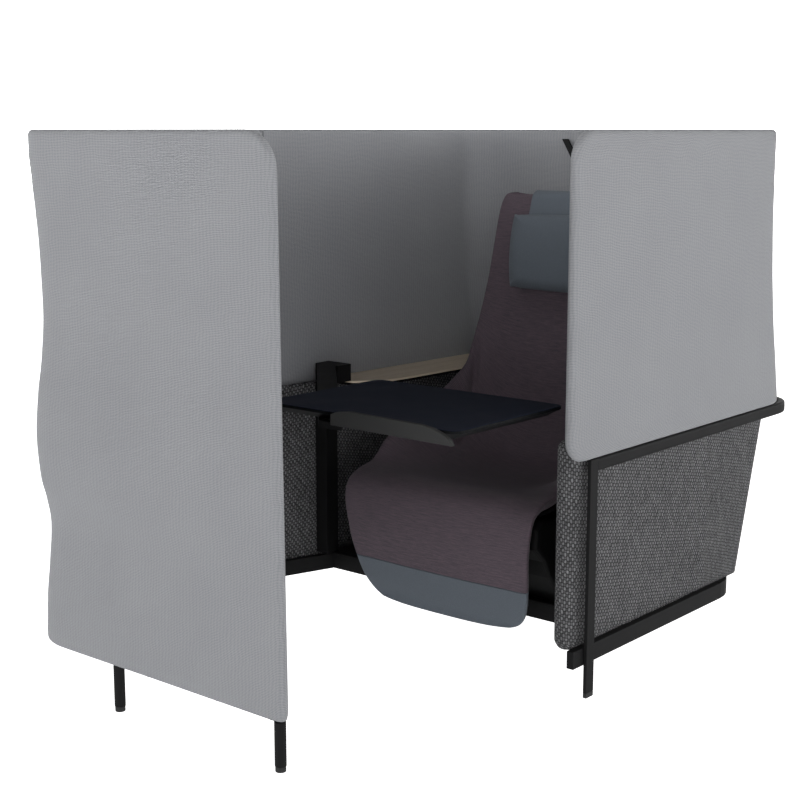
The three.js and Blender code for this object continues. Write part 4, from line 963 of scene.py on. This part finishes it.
head = put(
    screw_tree, "GeometryNodeMeshCone", {"fill_type": "NGON"}, Vertices=18, Side_Segments=1, Fill_Segments=1,
    Radius_Top=calc("MULTIPLY", given["Head Radius"], 0.86), Radius_Bottom=given["Head Radius"],
    Depth=calc("MULTIPLY", given["Head Height"], 0.7),
)
crown = turned((head["Mesh"], head["Top"]), calc("MULTIPLY", given["Head Height"], 0.3), 0.72)
lip = turned(crown, 0.0, given["Socket Share"])
socket = turned(lip, calc("MULTIPLY", given["Head Height"], -0.6), 1.0)[0]
aim = put(screw_tree, "GeometryNodeInputNamedAttribute", {"data_type": "FLOAT_VECTOR"}, Name="facing")
repeated(screw_tree, given["Geometry"], socket, aim[0], given["Finish"], screw_out)

blackened = coated("blackened_zinc", (38, 38, 40), (52, 52, 54), 0.42, 0.0004, 0.15, 0.6, 0.4)
up, down, forward = (0, 0, 1), (0, 0, -1), (0, -1, 0)
screw_places = [("base_plate", (x, y, 160), down) for x in (-400, 390) for y in (985, 1175, 1365)]
screw_places += [("panel_bracket_front", (-501, y, 160), down) for y in (1000, 1085)]
screw_places += [("panel_bracket_rear", (-503, 1370, 160), down)]
screw_places += [("wing_sill", (x, 12.5, 60), up) for x in (-380, -160, 60, 220)]
screw_places += [("back_shell", (x, 1700, z), forward) for x in (-70, 70) for z in (520, 640)]
spots, normals = [], []
for node, start, way in screw_places:
    hit, place, normal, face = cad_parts[node].ray_cast(Vector(placed(start)), Vector(way))
    if not hit:
        raise RuntimeError("no seat for a screw on " + node)
    normals.append(normal if normal.dot(Vector(way)) < 0 else -normal)
    spots.append(place - normals[-1] * 0.0001)
screws = grown(
    "screws", screw_tree, spots, [],
    {"Head Radius": 0.0055, "Head Height": 0.003, "Socket Share": 0.55, "Finish": blackened}, normals,
)
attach(screws, "frame")


# Side shelf: a 6 mm board faced with light maple veneer, cut to the wall's round, lacquered matt and
# screwed from below to a black carrier on the right panel.
maple, tree, shader = new_material("maple_veneer", 0.48, specular=0.45)
place = put(tree, "ShaderNodeTexCoord")["Object"]
grain = put(tree, "ShaderNodeMapping", Vector=place, Scale=(60, 2.2, 60))[0]
figure = noise(tree, grain, 1.0, 6.0, Roughness=0.65, Distortion=0.6)
pores = noise(tree, put(tree, "ShaderNodeMapping", Vector=place, Scale=(900, 40, 900))[0], 1.0)
wood = blended(tree, ranged(tree, figure, From_Min=0.3, From_Max=0.72), (222, 203, 178), (242, 227, 204))
pore_mask = ranged(tree, pores, From_Min=0.62, From_Max=0.72, To_Max=0.5)
surfaced(tree, shader, blended(tree, pore_mask, wood, (190, 164, 134)), figure, 0.25, 0.0002)
dress("side_shelf", maple, edge=0.0008)


# Work surface: a navy laminate top with an undercut edge, whose edge faces are painted near black as painted
# shade, on a black cast arm that turns on a pin in the column, and a dark grey plate along its far edge.
dress("surface_column arm_pin surface_arm", powder_coat, edge=0.0009)
dark_grey = coated("dark_grey_coat", (58, 58, 58), (66, 66, 66), 0.6, 0.0008, 0.25, specular=0.15)
dress("surface_rail", dark_grey, edge=0.0008)
navy = coated("navy_laminate", (24, 30, 47), (29, 37, 57), 0.6, 0.0005, 0.12, specular=0.12)
tree, shader = navy.node_tree, navy.node_tree.nodes["Principled BSDF"]
laminate = shader.inputs["Base Color"].links[0].from_socket
top_face = max(vertex.co.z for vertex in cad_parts["work_surface"].data.vertices) - 0.0009
height = put(tree, "ShaderNodeSeparateXYZ", Vector=put(tree, "ShaderNodeTexCoord")["Object"])[2]
# Painted shade: every face below the top is painted near black (7, 8, 11) for the shade on the undercut edge,
# and only the top keeps the navy laminate.
top_over_painted_edge_shade = sum_of(tree, "GREATER_THAN", height, top_face)
tree.links.new(blended(tree, top_over_painted_edge_shade, (7, 8, 11), laminate), shader.inputs["Base Color"])
dress("work_surface", navy, edge=0.0006)


# Reading light: a slim black bar on a slanted arm that tilts on a pin in a block on the screen. The strip
# below the bar is extruded opal plastic, pressed into it.
opal = coated("opal_strip", (226, 224, 216), (236, 234, 228), 0.35, grain_size=0.0006, bump=0.05)
dress("light_lens", opal, edge=0.0004)
dress("lamp_pin", powder_coat, edge=0.0009)


# Room: a plain pale floor that glows a little, under a bright sky that is strongest round the horizon, a
# small soft lamp over the back's top, and the camera where the photograph's was.
bpy.context.scene.view_settings.view_transform = "Standard"
floor_material, tree, shader = new_material("pale_floor", 0.9, specular=0.1)
shader.inputs["Base Color"].default_value = (0.85, 0.85, 0.85, 1)
shader.inputs["Emission Color"].default_value = (1, 1, 1, 1)
seen = put(tree, "ShaderNodeLightPath")["Is Camera Ray"]
tree.links.new(sum_of(tree, "MULTIPLY_ADD", seen, 0.9, 0.3), shader.inputs["Emission Strength"])
floor_mesh = bpy.data.meshes.new("floor")
floor_mesh.from_pydata([(-30, -30, 0), (30, -30, 0), (30, 30, 0), (-30, 30, 0)], [], [(0, 1, 2, 3)])
floor_mesh.materials.append(floor_material)
floor = stood("floor", floor_mesh)

world = bpy.data.worlds.new("room")
world.use_nodes = True
sky = world.node_tree
height = put(sky, "ShaderNodeSeparateXYZ", Vector=put(sky, "ShaderNodeTexCoord")["Generated"])[2]
fall = put(sky, "ShaderNodeValToRGB", Fac=height)[0]
ramp = fall.node.color_ramp
ramp.interpolation = "EASE"
first, last = ramp.elements
first.color, last.color = (1, 1, 1, 1), (0.02, 0.02, 0.02, 1)
for place, strength in ((0.2, 0.5), (0.35, 0.17), (0.5, 0.04), (0.7, 0.02)):
    ramp.elements.new(place).color = (strength, strength, strength, 1)
background = sky.nodes["Background"]
background.inputs["Color"].default_value = (1, 1, 1, 1)
sky.links.new(sum_of(sky, "MULTIPLY", fall, 4.35), background.inputs["Strength"])
bpy.context.scene.world = world

lamp_data = bpy.data.lights.new("soft_lamp", "AREA")
lamp_data.shape, lamp_data.size, lamp_data.size_y = "RECTANGLE", 0.5, 0.2
lamp_data.energy, lamp_data.spread = 0.13, math.radians(80)
lamp = stood("soft_lamp", lamp_data)
lamp.location = (0.03, 0.3, 1.5)
lamp.rotation_euler = (math.radians(33), 0, 0)

camera_data = bpy.data.cameras.new("camera")
camera_data.lens, camera_data.sensor_width = 67.5, 36
camera = stood("camera", camera_data)
camera.location = (2.3318, -2.9298, 1.288)
camera.rotation_euler = (math.radians(79.8), 0, math.radians(40))
bpy.context.scene.camera = camera
